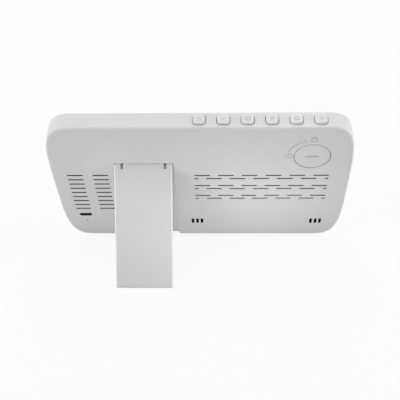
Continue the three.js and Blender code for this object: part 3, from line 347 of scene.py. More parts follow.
# Display, from its middle: a number's width, height and line; each row's numbers, places, height and size
LIT_FOOT = -0.05
LIT_PROUD = 0.03
SEGMENT_GAP = 0.18
LARGE_NUMBER = (11, 24, 2.6)
SMALL_NUMBER = (4.4, 8, 1.1)
LIT_ROWS = [
    ("1008", (-29, -12, 12, 29), 6, LARGE_NUMBER),
    ("1226", (-33, -26, -16, -9), -17.5, SMALL_NUMBER),
    ("24", (22, 29), -17.5, SMALL_NUMBER),
]
COLON_UPS = (1, 11)
COLON_RADIUS = 1.5
DATE_DASH_PLACE = (-21, -17.5)
DATE_DASH_SIZE = (2.2, 0.9)
DATE_DASH_CORNER = 0.2
DEGREE_PLACE = (34.5, -14)
DEGREE_RADIUS = 1.0
DEGREE_LINE = 0.6

# Which segments each number lights: top, upper right, lower right, foot, lower left, upper left, middle
SEGMENTS = {
    "0": (1, 1, 1, 1, 1, 1, 0),
    "1": (0, 1, 1, 0, 0, 0, 0),
    "2": (1, 1, 0, 1, 1, 0, 1),
    "4": (0, 1, 1, 0, 0, 1, 1),
    "6": (1, 0, 1, 1, 1, 1, 1),
    "8": (1, 1, 1, 1, 1, 1, 1),
}

# Frames: each turns a drawing in millimetres into its place in metres
JOINTS = {joint["name"]: joint for joint in frame["joints"]}
DOOR_AXIS = JOINTS["battery_door_twist"]["pos_m"]
HINGE = JOINTS["stand_fold"]["pos_m"]
MILLIMETRES = Matrix.Scale(1 / METRE, 4)


def axes(x, y, z):
    return Matrix((x, y, z)).transposed().to_4x4()


def tilted(origin, angle):
    return Matrix.Translation(origin) @ Matrix.Rotation(radians(angle), 4, "X") @ MILLIMETRES


FROM_BEHIND = axes((-1, 0, 0), (0, 0, 1), (0, 1, 0))
FROM_FRONT = axes((1, 0, 0), (0, 0, 1), (0, -1, 0))
FROM_ABOVE = axes((-1, 0, 0), (0, -1, 0), (0, 0, 1))
BODY = tilted(DOOR_AXIS, -LEAN) @ Matrix.Translation((DOOR_PLACE[0], 0, -DOOR_PLACE[1]))
BACK = BODY @ FROM_BEHIND
FRONT = BODY @ FROM_FRONT
TOP = BODY @ FROM_ABOVE
STAND = tilted(HINGE, OPEN_ANGLE - LEAN) @ FROM_BEHIND


def seat_of(node, face):
    """Lowest corner, highest corner and middle of a CAD node in the millimetres of one frame."""
    back = face.inverted()
    corners = [back @ corner.co for corner in frame["nodes"][node].data.vertices]
    low = Vector(min(corner[i] for corner in corners) for i in range(3))
    high = Vector(max(corner[i] for corner in corners) for i in range(3))
    return low, high, [(near + far) / 2 for near, far in zip(low, high)]


def seats_of(starts, face):
    """The seats of all nodes whose names start so."""
    return [seat_of(node, face) for node in frame["nodes"] if node.startswith(starts)]


POSTED_SCREWS = seats_of(("main_board_screw_", "power_board_screw_", "coil_screw_", "holder_screw_"), BACK)
KEY_SCREWS = seats_of("key_board_screw_", BACK)
LEDGE_SCREWS = seats_of("ledge_screw_", FRONT)
FEET = seats_of("foot_", BACK)


# Outlines: each gives its points, grown outwards by a distance
def arc(x, y, radius, start, end, steps):
    turns = [radians(start + (end - start) * i / steps) for i in range(steps + 1)]
    return [(x + radius * cos(turn), y + radius * sin(turn)) for turn in turns]


def body_outline(grow=0.0):
    points = []
    run = BODY_WIDTH / 2 - CORNER_WIDTH
    rise = BODY_HEIGHT / 2 - CORNER_HEIGHT
    for quarter, (side, level) in enumerate(((1, 1), (-1, 1), (-1, -1), (1, -1))):
        for step in range(CORNER_STEPS + 1):
            angle = (quarter + step / CORNER_STEPS) * pi / 2
            across, along = cos(angle), sin(angle)
            bulge = (abs(across) ** CORNER_POWER + abs(along) ** CORNER_POWER) ** (1 / CORNER_POWER)
            reach = CORNER_HEIGHT if level > 0 else CORNER_HEIGHT - LOWER_RISE
            x = side * run + (CORNER_WIDTH + grow) * across / bulge
            y = BODY_HEIGHT / 2 + level * rise + (reach + grow) * along / bulge
            points.append((x, y))
    return points


def circle(radius, steps=96):
    def ring(grow=0.0):
        return arc(0, 0, radius + grow, 0, 360 - 360 / steps, steps - 1)
    return ring


def rounded(width, height, radius, steps=8):
    def ring(grow=0.0):
        turn = max(radius + grow, LEAST_RADIUS)
        x = width / 2 + grow - turn
        y = height / 2 + grow - turn
        points = []
        for quarter, (right, up) in enumerate(((x, y), (-x, y), (-x, -y), (x, -y))):
            points += arc(right, up, turn, 90 * quarter, 90 * quarter + 90, steps)
        return points
    return ring


def oblong(width, height, inset=0.0):
    width -= 2 * inset
    height -= 2 * inset
    return rounded(width, height, min(width, height) / 2 - SLOT_TIP)


# Levels: heights of a stack of outlines, and how far the outline grows at each
def soft_levels(low, high, foot=0.0, top=0.0, steps=8):
    turns = [i / steps * pi / 2 for i in range(steps + 1)]
    lower = [(low + foot * (1 - cos(turn)), -foot * (1 - sin(turn))) for turn in turns]
    upper = [(high - top * (1 - cos(turn)), -top * (1 - sin(turn))) for turn in reversed(turns)]
    levels = lower if foot else [(low, 0.0)]
    return levels + (upper if top else [(high, 0.0)])


def flared_cut(low, face, flare=SLOT_FLARE):
    return [(low, 0.0), (face - flare, 0.0), (face + PAST, flare + PAST)]


# Shells: the corners and faces of one closed skin
def skin(rings, looped=False):
    count = len(rings[0])
    corners = [point for ring in rings for point in ring]
    faces = []
    for level in range(len(rings) if looped else len(rings) - 1):
        here = level * count
        there = (level + 1) % len(rings) * count
        for i in range(count):
            j = (i + 1) % count
            faces.append((here + i, here + j, there + j, there + i))
    if not looped:
        faces.append(tuple(reversed(range(count))))
        faces.append(tuple(range(len(corners) - count, len(corners))))
    return corners, faces


def stack(ring, levels, at=(0.0, 0.0)):
    return skin([[(x + at[0], y + at[1], z) for x, y in ring(grow)] for z, grow in levels])


def stack_upright(ring, levels, x, z):
    return skin([[(x + dx, y, z + dz) for dx, dz in ring(grow)] for y, grow in levels])


def flat(points, low, high, at=(0.0, 0.0)):
    return skin([[(x + at[0], y + at[1], z) for x, y in points] for z in (low, high)])


def pin(radius, low, high, at=(0.0, 0.0), steps=96):
    return flat(circle(radius, steps)(), low, high, at)


def block(x0, x1, y0, y1, z0, z1):
    return flat([(x0, y0), (x1, y0), (x1, y1), (x0, y1)], z0, z1)


def beam(section, x0, x1):
    return skin([[(x, y, z) for y, z in section] for x in (x0, x1)])


def bar(radius, x0, x1, y, z, steps=48):
    section = [(y + dy, z + dz) for dy, dz in circle(radius, steps)()]
    return beam(section, x0, x1)


def ribbon(points, width, low, high, looped=False):
    """A raised line along a path, a little narrower at its top."""
    rings = []
    count = len(points)
    for i, (x, y) in enumerate(points):
        before = points[i - 1] if i or looped else points[i]
        after = points[(i + 1) % count] if i + 1 < count or looped else points[i]
        dx, dy = after[0] - before[0], after[1] - before[1]
        reach = hypot(dx, dy)
        nx, ny = -dy / reach * width / 2, dx / reach * width / 2
        rings.append([
            (x + nx, y + ny, low),
            (x - nx, y - ny, low),
            (x - nx * LINE_TOP, y - ny * LINE_TOP, high),
            (x + nx * LINE_TOP, y + ny * LINE_TOP, high),
        ])
    return skin(rings, looped)


def moved(shell, x, y, z=0.0):
    corners, faces = shell
    return [(cx + x, cy + y, cz + z) for cx, cy, cz in corners], faces


# Pieces
def build(name, *shells):
    mesh = bpy.data.meshes.new(name)
    shape = bmesh.new()
    for corners, faces in shells:
        points = [shape.verts.new(corner) for corner in corners]
        for face in faces:
            shape.faces.new([points[i] for i in face])
    bmesh.ops.recalc_face_normals(shape, faces=shape.faces)
    shape.to_mesh(mesh)
    shape.free()
    piece = bpy.data.objects.new(name, mesh)
    bpy.context.scene.collection.objects.link(piece)
    return piece


def settle(piece):
    """Makes what the modifiers show the piece's own mesh."""
    graph = bpy.context.evaluated_depsgraph_get()
    shown = piece.evaluated_get(graph)
    mesh = bpy.data.meshes.new_from_object(shown, preserve_all_data_layers=True, depsgraph=graph)
    piece.modifiers.clear()
    piece.data = mesh
    return piece


def combine(piece, other, operation="DIFFERENCE"):
    step = piece.modifiers.new("carve", "BOOLEAN")
    step.operation = operation
    step.solver = "MANIFOLD"
    step.object = other
    settle(piece)
    bpy.data.objects.remove(other)


def carve(piece, *shells):
    combine(piece, build("cutter", *shells))


def join(piece, *shells):
    combine(piece, build("addition", *shells), "UNION")


def trim(piece, *shells):
    combine(piece, build("bounds", *shells), "INTERSECT")


def soften(piece, width, steps=3):
    step = piece.modifiers.new("soften", "BEVEL")
    step.width = width
    step.segments = steps
    step.limit_method = "ANGLE"
    step.angle_limit = radians(SOFTEN_ANGLE)
    return settle(piece)


def smooth(piece):
    piece.data.shade_smooth()
    piece.data.set_sharp_from_angle(angle=radians(SHARP_ANGLE))
    step = piece.modifiers.new("even", "WEIGHTED_NORMAL")
    step.mode = "FACE_AREA"
    step.weight = AREA_WEIGHT
    step.keep_sharp = True
    return settle(piece)


def fit(piece, face, material, replaced=None, body="clock_body"):
    """Puts a finished drawing in its place on a body, with its finish."""
    piece.data.transform(face)
    smooth(piece)
    piece.data.materials.clear()
    piece.data.materials.append(material)
    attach(piece, body)
    if replaced:
        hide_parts(replaced)


# Repeated pieces
def add_node(tree, kind, settings, inputs):
    node = tree.nodes.new(kind)
    for name, value in settings.items():
        setattr(node, name, value)
    for name, value in inputs.items():
        if isinstance(value, bpy.types.NodeSocket):
            tree.links.new(value, node.inputs[name])
        else:
            node.inputs[name].default_value = value
    return node


def start_tree(name, sizes):
    """A tree that takes a piece, its finish and some sizes, with the piece's shape to copy."""
    tree = bpy.data.node_groups.new(name, "GeometryNodeTree")
    tree.interface.new_socket("Geometry", in_out="OUTPUT", socket_type="NodeSocketGeometry")
    for label, kind in {"Piece": "Object", **sizes, "Finish": "Material"}.items():
        tree.interface.new_socket(label, in_out="INPUT", socket_type=f"NodeSocket{kind}")
    given = tree.nodes.new("NodeGroupInput").outputs
    piece = add_node(tree, "GeometryNodeObjectInfo", {}, {"Object": given["Piece"]})
    return tree, given, piece.outputs["Geometry"]


def end_tree(tree, geometry, finish):
    real = add_node(tree, "GeometryNodeRealizeInstances", {}, {"Geometry": geometry})
    painted = add_node(tree, "GeometryNodeSetMaterial", {}, {
        "Geometry": real.outputs["Geometry"],
        "Material": finish,
    })
    add_node(tree, "NodeGroupOutput", {}, {"Geometry": painted.outputs["Geometry"]})
    return tree


def copies_in_line(tree, thing, count, axis, pitch):
    step = add_node(tree, "ShaderNodeCombineXYZ", {}, {axis: pitch})
    line = add_node(tree, "GeometryNodeMeshLine", {"mode": "OFFSET"}, {
        "Count": count,
        "Offset": step.outputs[0],
    })
    copies = add_node(tree, "GeometryNodeInstanceOnPoints", {}, {
        "Points": line.outputs["Mesh"],
        "Instance": thing,
    })
    return copies.outputs["Instances"]


def grid_tree():
    """Copies of one piece in columns to the right and rows downwards."""
    tree, given, piece = start_tree("rows_and_columns", {
        "Columns": "Int",
        "Column Pitch": "Float",
        "Rows": "Int",
        "Row Pitch": "Float",
    })
    row = copies_in_line(tree, piece, given["Columns"], "X", given["Column Pitch"])
    fall = add_node(tree, "ShaderNodeMath", {"operation": "MULTIPLY"}, {0: given["Row Pitch"], 1: -1.0})
    field = copies_in_line(tree, row, given["Rows"], "Y", fall.outputs[0])
    return end_tree(tree, field, given["Finish"])


def arc_tree():
    """Copies of one piece along an arc, each turned with it."""
    tree, given, piece = start_tree("along_an_arc", {
        "Count": "Int",
        "Radius": "Float",
        "Start": "Float",
        "Sweep": "Float",
    })
    path = add_node(tree, "GeometryNodeCurveArc", {"mode": "RADIUS"}, {
        "Radius": given["Radius"],
        "Start Angle": given["Start"],
        "Sweep Angle": given["Sweep"],
        "Resolution": ARC_STEPS,
    })
    spots = add_node(tree, "GeometryNodeCurveToPoints", {"mode": "COUNT"}, {
        "Curve": path.outputs["Curve"],
        "Count": given["Count"],
    })
    turned = add_node(tree, "FunctionNodeAlignRotationToVector", {"axis": "X", "pivot_axis": "Z"}, {
        "Vector": spots.outputs["Tangent"],
    })
    copies = add_node(tree, "GeometryNodeInstanceOnPoints", {}, {
        "Points": spots.outputs["Points"],
        "Instance": piece,
        "Rotation": turned.outputs["Rotation"],
    })
    return end_tree(tree, copies.outputs["Instances"], given["Finish"])


GRID = grid_tree()
ARC = arc_tree()


def repeat(name, tree, shell, sizes, at, finish):
    """Runs a tree on one drawn piece and keeps what it makes as a plain mesh."""
    sample = build(name + "_sample", shell)
    piece = build(name)
    step = piece.modifiers.new("repeat", "NODES")
    step.node_group = tree
    values = dict(sizes, Piece=sample, Finish=finish)
    for item in tree.interface.items_tree:
        if item.in_out == "INPUT":
            step[item.identifier] = values[item.name]
    settle(piece)
    bpy.data.objects.remove(sample)
    piece.data.transform(Matrix.Translation((at[0], at[1], 0)))
    return piece


def row_start(middle, columns):
    count, pitch = columns
    return middle - pitch * (count - 1) / 2


def in_rows(name, shell, columns, rows, at, finish):
    """Copies in a grid; columns and rows are each a count and a pitch."""
    sizes = {"Columns": columns[0], "Column Pitch": columns[1], "Rows": rows[0], "Row Pitch": rows[1]}
    return repeat(name, GRID, shell, sizes, at, finish)


# Shader sums
class Tone:
    """A shader socket in a sum: each operation adds its node."""

    def __init__(self, tree, socket):
        self.tree = tree
        self.socket = socket

    def node(self, kind, settings=None, inputs=None, output=0):
        given = {}
        for name, value in (inputs or {}).items():
            given[name] = value.socket if isinstance(value, Tone) else value
        made = add_node(self.tree, kind, settings or {}, given)
        return Tone(self.tree, made.outputs[output])

    def sum(self, operation, first, second):
        return self.node("ShaderNodeMath", {"operation": operation}, {0: first, 1: second})

    def __add__(self, other):
        return self.sum("ADD", self, other)

    __radd__ = __add__

    def __sub__(self, other):
        return self.sum("SUBTRACT", self, other)

    def __rsub__(self, other):
        return self.sum("SUBTRACT", other, self)

    def __mul__(self, other):
        return self.sum("MULTIPLY", self, other)

    __rmul__ = __mul__

    def size(self):
        return self.node("ShaderNodeMath", {"operation": "ABSOLUTE"}, {0: self})

    def above(self, edge):
        return self.sum("GREATER_THAN", self, edge)

    def between(self, start, end):
        return self.node("ShaderNodeMapRange", None, {"Value": self, "From Min": start, "From Max": end})

    def mix(self, low, high):
        return self.node("ShaderNodeMix", {"data_type": "RGBA"}, {0: self, 6: low, 7: high}, output=2)


def place_in(tree):
    return Tone(tree, tree.nodes.new("ShaderNodeTexCoord").outputs["Object"])


def start_finish(name):
    material = bpy.data.materials.new(name)
    material.use_nodes = True
    tree = material.node_tree
    return material, tree.nodes["Principled BSDF"], place_in(tree)


def feed(shader, socket, tone):
    tone.tree.links.new(tone.socket, shader.inputs[socket])


def hold(shader, socket, value):
    shader.inputs[socket].default_value = value


def grain(place, scale, detail=2.0):
    return place.node("ShaderNodeTexNoise", None, {"Vector": place, "Scale": scale, "Detail": detail})


def emboss(shader, height, strength, distance):
    bump = {"Strength": strength, "Distance": distance, "Height": height}
    feed(shader, "Normal", height.node("ShaderNodeBump", None, bump))


def colour(red, green, blue):
    return (red, green, blue, 1.0)


def grey(value):
    return colour(value, value, value)


def coat(shader, tone, dark, light, rough, drift):
    """Colour and gloss that drift with one tone."""
    feed(shader, "Base Color", tone.mix(dark, light))
    feed(shader, "Roughness", rough + tone * drift)


def moulded_plastic(name, light, dark, rough=0.5, texture=0.25, painted_highlight=None):
    """Spark-textured plastic: fine pits, a faint cloud in the tone and in the gloss."""
    material, shader, place = start_finish(name)
    cloud = grain(place, scale=38.0, detail=3.0)
    pits = grain(place, scale=2600.0, detail=1.0)
    ripple = grain(place, scale=420.0)
    plain = cloud.mix(grey(dark), grey(light))
    # Where given, a painted highlight is laid over the plain tone
    feed(shader, "Base Color", painted_highlight(place, plain) if painted_highlight else plain)
    feed(shader, "Roughness", rough + (ripple - 0.5) * 0.16)
    emboss(shader, pits + ripple * 0.4, strength=texture, distance=0.00004)
    hold(shader, "Specular IOR Level", 0.4)
    return material


def painted_edge_highlight(place, plain):
    """Painted highlight: a pale band, grey(0.93), along the stand's long edges, where the rounded edges
    would catch light.
    """
    middle = HINGE[0] + STAND_TRIM / 2 / METRE
    across = place.node("ShaderNodeSeparateXYZ", None, {0: place}) - middle
    off_edge = across.size() - (STAND_WIDTH - STAND_TRIM - HIGHLIGHT_BAND) / 2 / METRE
    painted_highlight = off_edge.size().between(HIGHLIGHT_BAND / 2 / METRE, HIGHLIGHT_BAND / 4 / METRE)
    return painted_highlight.mix(plain, grey(0.93))


def silicone(name, light, dark):
    material, shader, place = start_finish(name)
    dust = grain(place, scale=900.0, detail=3.0)
    cloud = grain(place, scale=60.0)
    feed(shader, "Base Color", (dust * 0.4 + cloud * 0.6).mix(grey(dark), grey(light)))
    feed(shader, "Roughness", 0.72 + (dust - 0.5) * 0.2)
    emboss(shader, dust, strength=0.2, distance=0.00005)
    hold(shader, "Specular IOR Level", 0.3)
    return material


def smoked_lens():
    material, shader, place = start_finish("smoked_lens")
    haze = grain(place, scale=55.0)
    coat(shader, haze, colour(0.006, 0.007, 0.009), colour(0.011, 0.012, 0.014), rough=0.05, drift=0.06)
    hold(shader, "Specular IOR Level", 0.25)
    return material


def lit_segment():
    material, shader, place = start_finish("lit_segment")
    glow = grain(place, scale=300.0, detail=1.0)
    feed(shader, "Base Color", glow.mix(colour(0.7, 0.78, 0.8), colour(0.8, 0.86, 0.88)))
    feed(shader, "Emission Color", glow.mix(colour(0.62, 0.8, 0.86), colour(0.72, 0.88, 0.94)))
    hold(shader, "Emission Strength", 0.9)
    hold(shader, "Roughness", 0.3)
    return material


def slot_shade_finish():
    material, shader, place = start_finish("slot_shade_finish")
    # Near-black sheet in the slots, painted shade for their dark inside, with fine cells in its colour and
    # bumps
    fine_cells = place.node("ShaderNodeTexVoronoi", None, {"Vector": place, "Scale": 2800.0})
    feed(shader, "Base Color", fine_cells.mix(grey(0.001), grey(0.004)))
    emboss(shader, fine_cells, strength=0.4, distance=0.00006)
    hold(shader, "Roughness", 0.9)
    hold(shader, "Specular IOR Level", 0.1)
    return material


def metal(name, light, dark, rough):
    """Metal with fine scratches along the way it was drawn."""
    material, shader, place = start_finish(name)
    drawn = place.node("ShaderNodeMapping", None, {"Vector": place, "Scale": (1.0, 1.0, 9.0)})
    scratches = grain(drawn, scale=700.0, detail=3.0)
    coat(shader, scratches, dark, light, rough=rough - 0.1, drift=0.2)
    emboss(shader, scratches, strength=0.08, distance=0.00003)
    hold(shader, "Metallic", 1.0)
    return material


def copper_wire():
    """Enamelled wire laid in rings."""
    material, shader, place = start_finish("copper_wire")
    low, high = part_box("charging_coil")
    middle = (low + high) / 2
    centred = place.node("ShaderNodeMapping", None, {"Vector": place, "Location": tuple(-middle)})
    turns = place.node("ShaderNodeTexWave", {"wave_type": "RINGS", "rings_direction": "SPHERICAL"}, {
        "Vector": centred,
        "Scale": 420.0,
        "Distortion": 0.3,
    })
    coat(shader, turns, colour(0.38, 0.14, 0.06), colour(0.8, 0.4, 0.2), rough=0.3, drift=0.12)
    emboss(shader, turns, strength=0.5, distance=0.0002)
    hold(shader, "Metallic", 0.9)
    return material


def ferrite():
    material, shader, place = start_finish("ferrite")
    grit = grain(place, scale=1400.0, detail=4.0)
    coat(shader, grit, grey(0.03), grey(0.07), rough=0.55, drift=0.25)
    emboss(shader, grit, strength=0.2, distance=0.00005)
    return material


def circuit_board():
    """Green mask over square copper tracks."""
    material, shader, place = start_finish("circuit_board")
    cells = place.node("ShaderNodeTexBrick", {"offset": 0.5, "squash": 1.0}, {
        "Vector": place,
        "Scale": 160.0,
        "Mortar Size": 0.03,
        "Color1": grey(0.0),
        "Color2": grey(0.15),
        "Mortar": grey(1.0),
    }, output=1)
    cloud = grain(place, scale=90.0)
    mask = cloud.mix(colour(0.012, 0.085, 0.04), colour(0.02, 0.12, 0.055))
    feed(shader, "Base Color", cells.mix(mask, colour(0.05, 0.2, 0.085)))
    feed(shader, "Roughness", 0.38 + cloud * 0.12)
    emboss(shader, cells, strength=0.15, distance=0.00004)
    return material


def amber_ribbon():
    """Amber film with fine tracks along it."""
    material, shader, place = start_finish("amber_ribbon")
    tracks = place.node("ShaderNodeTexWave", {"wave_type": "BANDS", "bands_direction": "X"}, {
        "Vector": place,
        "Scale": 160.0,
    })
    feed(shader, "Base Color", tracks.above(0.5).mix(colour(0.5, 0.25, 0.05), colour(0.62, 0.36, 0.1)))
    feed(shader, "Roughness", 0.32 + tracks * 0.1)
    return material


def red_insulation():
    material, shader, place = start_finish("red_insulation")
    cloud = grain(place, scale=240.0)
    coat(shader, cloud, colour(0.28, 0.02, 0.016), colour(0.4, 0.035, 0.026), rough=0.42, drift=0.15)
    return material


def lcd_glass():
    """Grey glass with a fine grid of cells."""
    material, shader, place = start_finish("lcd_glass")
    cells = place.node("ShaderNodeTexChecker", None, {"Vector": place, "Scale": 2000.0}, output=1)
    coat(shader, cells, colour(0.14, 0.16, 0.145), colour(0.18, 0.2, 0.18), rough=0.1, drift=0.04)
    return material


def diffuser():
    material, shader, place = start_finish("diffuser")
    frost = grain(place, scale=1100.0)
    coat(shader, frost, colour(0.82, 0.82, 0.79), colour(0.9, 0.9, 0.88), rough=0.5, drift=0.2)
    return material


HOUSING = moulded_plastic("housing_white", light=0.71, dark=0.685, rough=0.52)
BUTTON = moulded_plastic("button_white", light=0.7, dark=0.68, rough=0.42, texture=0.12)
# The stand's plastic carries a painted highlight along its long edges
STAND_FINISH = moulded_plastic("stand_white", light=0.67, dark=0.647, painted_highlight=painted_edge_highlight)
MARK = moulded_plastic("mark_grey", light=0.5, dark=0.47, texture=0.15)
ICON = moulded_plastic("icon_grey", light=0.43, dark=0.4, texture=0.1)
BLACK = moulded_plastic("black_plastic", light=0.022, dark=0.014, rough=0.55)
SILICONE = silicone("silicone_grey", light=0.52, dark=0.42)
PALE_RUBBER = silicone("pale_rubber", light=0.68, dark=0.62)
STEEL = metal("plated_steel", colour(0.62, 0.63, 0.64), colour(0.5, 0.51, 0.52), rough=0.32)
# Near-black metal for the socket's shell: painted shade for the dark inside of the socket
SOCKET_SHADE_STEEL = metal("socket_shade_steel", grey(0.02), grey(0.01), rough=0.4)
BRASS = metal("spring_brass", colour(0.74, 0.58, 0.27), colour(0.62, 0.46, 0.2), rough=0.33)
LENS = smoked_lens()
SEGMENT = lit_segment()
SLOT_SHADE = slot_shade_finish()
COPPER = copper_wire()

# Inner pieces keep their shape and get their finish
INNER_FINISHES = {
    "lcd_panel": lcd_glass(),
    "backlight": diffuser(),
    "key_ribbon": amber_ribbon(),
    "power_lead": red_insulation(),
    "ferrite_sheet": ferrite(),
    "coil_carrier": HOUSING,
    "coin_cell": STEEL,
    **dict.fromkeys(("charging_coil", "coil_lead"), COPPER),
    **dict.fromkeys(("main_board", "power_board", "key_board"), circuit_board()),
    **dict.fromkeys(("buzzer", "temperature_sensor", "reset_switch", "battery_holder"), BLACK),
    **dict.fromkeys(("battery_positive_contact", "battery_negative_contact"), BRASS),
}


# Rear cover
def vent_rows(name, levels, finish):
    """Every vent of the two panels, as cutters or as the near-black sheets of painted shade in them."""
    vent = stack(oblong(*VENT_SIZE), levels)
    dash = stack(oblong(DASH_LENGTH, DASH_WIDTH), levels)
    stub = stack(oblong(DASH_END_LENGTH, DASH_WIDTH), levels)
    x, y = DASH_FIRST
    lower = y - DASH_PAIR_PITCH
    stub_shift = (DASH_LENGTH - DASH_END_LENGTH) / 2
    span = (DASH_COUNT - 1) * DASH_PITCH + 2 * stub_shift
    rows = [
        ("columns", vent, VENT_COLUMNS, VENT_ROWS, VENT_FIRST),
        ("dashes", dash, (DASH_COUNT, DASH_PITCH), DASH_GROUPS, (x, y)),
        ("dashes_between", dash, (DASH_COUNT - 1, DASH_PITCH), DASH_GROUPS, (x + DASH_PITCH / 2, lower)),
        ("dash_ends", stub, (2, span), DASH_GROUPS, (x - stub_shift, lower)),
    ]
    return [in_rows(f"{name}_{label}", *row, finish) for label, *row in rows]


def sound_row(name, levels, middle, finish):
    first = (row_start(middle, SOUND_COLUMNS), SOUND_UP)
    return in_rows(name, stack(oblong(*SOUND_SIZE), levels), SOUND_COLUMNS, ONE_ROW, first, finish)


def clip_spots():
    """For each clip: along which axis it lies, which edge, inward direction and place along the edge."""
    lower = [("y", LOWER_RISE, 1, x) for x in LOWER_CLIPS]
    upper = [("y", BODY_HEIGHT, -1, x) for x in UPPER_CLIPS]
    half = BODY_WIDTH / 2
    sides = [("x", -half, 1, BODY_HEIGHT / 2), ("x", half, -1, BODY_HEIGHT / 2)]
    return lower + upper + sides


def clip_block(spot, half, near, far, z0, z1, mirror=1):
    """A block that lies between two depths in from an edge; mirror is -1 where x runs the other way."""
    axis, edge, inward, at = spot
    low, high = sorted((edge + inward * near, edge + inward * far))
    if axis == "y":
        return block(mirror * at - half, mirror * at + half, low, high, z0, z1)
    return block(low, high, at - half, at + half, z0, z1)


def cover_cavity():
    room = build("cavity", flat(body_outline(-SIDE_WALL), -BODY_DEPTH - PAST, -WALL))
    left = STAND_X - (RECESS_HALF + WALL)
    right = STAND_X + (RECESS_HALF + WALL)
    top = RECESS_TOP + WALL
    heel = HEEL_RADIUS + FIT + WALL
    carve(room, block(left, right, -PAST, top, RECESS_FLOOR - WALL, PAST))
    carve(room, block(left, right, HINGE_UP - heel, top, HINGE_DEPTH - heel, PAST))
    carve(room, pin(DOOR_BOSS_RADIUS, DOOR_LEDGE_LOW, PAST, DOOR_PLACE))
    carve(room, *[
        pin(POST_RADIUS, high.z - SCREW_GRIP, PAST, middle, steps=24) for low, high, middle in POSTED_SCREWS
    ])
    key_posts = []
    half = KEY_POST_HALF
    for low, high, (x, y, z) in KEY_SCREWS:
        end = low.y + SCREW_GRIP
        key_posts.append(block(x - half, x + half, end - KEY_POST_LENGTH, end, z - half, PAST))
    carve(room, *key_posts)
    return room


def pilot_cutters():
    pilots = []
    for low, high, middle in POSTED_SCREWS:
        pilots.append(pin(PILOT_RADIUS, high.z - SCREW_GRIP - PAST, high.z + FIT, middle, steps=16))
    for low, high, (x, y, z) in KEY_SCREWS:
        levels = [(low.y - FIT, 0), (low.y + SCREW_GRIP + PAST, 0)]
        pilots.append(stack_upright(circle(PILOT_RADIUS, steps=16), levels, x, z))
    return pilots


def button_cutters():
    """Openings in the top wall, and room under it for each flange."""
    size = BUTTON_SIZE + 2 * BUTTON_GAP
    opening = rounded(size, size, BUTTON_RADIUS + BUTTON_GAP)
    inside = BODY_HEIGHT - SIDE_WALL
    levels = flared_cut(inside - PAST, BODY_HEIGHT, BUTTON_FLARE)
    wide = BUTTON_SIZE / 2 + BUTTON_FLANGE + FIT
    deep = BUTTON_SIZE / 2 + FIT
    openings = []
    rooms = []
    for number in BUTTON_NUMBERS:
        low, high, (x, y, z) = seat_of(f"button_{number}", BACK)
        openings.append(stack_upright(opening, levels, x, z))
        rooms.append(block(x - wide, x + wide, inside - BUTTON_ROOM, inside, z - deep, z + deep))
    return openings, rooms


def pocket_cutters():
    """Room for the feet and for the barbs of the front panel's clips."""
    pockets = []
    for low, high, middle in FEET:
        pockets.append(block(low.x - SLIP, high.x + SLIP, -PAST, high.y + SEAT, low.z - SLIP, high.z + SLIP))
    clip_end = RIM_FLOOR - FIT + CLIP_REACH
    for spot in clip_spots():
        pockets.append(clip_block(
            spot, CLIP_WIDTH / 2 + FIT, SIDE_WALL - BARB_REACH, SIDE_WALL + PAST,
            clip_end - BARB_LENGTH - FIT, clip_end + FIT, -1,
        ))
    return pockets


def cut_slots(cover):
    levels = flared_cut(-WALL - PAST, 0)
    for cutter in vent_rows("vents", levels, HOUSING):
        combine(cover, cutter)
    for middle in SOUND_MIDDLES:
        combine(cover, sound_row("sound_slots", levels, middle, HOUSING))


def cut_stand_recess(cover):
    """The recess, the round room for the heel, the trunnions' bores and a well behind each slit."""
    recess = rounded(2 * RECESS_HALF, RECESS_TOP + PAST, RECESS_CORNER)
    levels = flared_cut(RECESS_FLOOR, 0, RECESS_FLARE)
    carve(cover, stack(recess, levels, (STAND_X, (RECESS_TOP - PAST) / 2)))
    heel = HEEL_RADIUS + FIT
    carve(cover, bar(heel, STAND_X - RECESS_HALF, STAND_X + RECESS_HALF, HINGE_UP, HINGE_DEPTH))
    bore = TRUNNION_RADIUS + SLIP
    reach = STAND_WIDTH / 2 + TRUNNION_LENGTH + FIT
    carve(cover, bar(bore, STAND_X - reach, STAND_X + reach, HINGE_UP, HINGE_DEPTH, steps=24))
    wells = []
    half = STAND_SLIT_WIDTH / 2
    low, high = HINGE_UP + WELL_LOW, HINGE_UP + HEEL_RADIUS
    for x in (STAND_X - SLIT_MIDDLE, STAND_X + SLIT_MIDDLE):
        wells.append(block(x - half, x + half, low, high, WELL_DEPTH, HINGE_DEPTH))
    carve(cover, *wells)


def cut_openings(cover):
    sink = stack(circle(DOOR_RADIUS + DOOR_GAP), flared_cut(DOOR_LEDGE_HIGH, 0, DOOR_FLARE), DOOR_PLACE)
    socket = stack(oblong(*USB_SIZE), flared_cut(-WALL, 0, USB_EDGE), USB_PLACE)
    levels = flared_cut(-WALL - PAST, 0, PINHOLE_FLARE)
    pinhole = stack(circle(PINHOLE_RADIUS, steps=24), levels, (USB_PLACE[0], PINHOLE_UP))
    openings, rooms = button_cutters()
    carve(cover, sink, socket, pinhole, *openings)
    hole = pin(NECK_RADIUS + SLIP, DOOR_LEDGE_LOW - PAST, 0, DOOR_PLACE)
    low, high, middle = seat_of("usb_shell", BACK)
    socket_room = block(
        low.x - USB_RELIEF, high.x + USB_RELIEF,
        low.y - USB_RELIEF, high.y + USB_RELIEF,
        -WALL - PAST, -USB_SKIN,
    )
    carve(cover, hole, socket_room, *rooms)


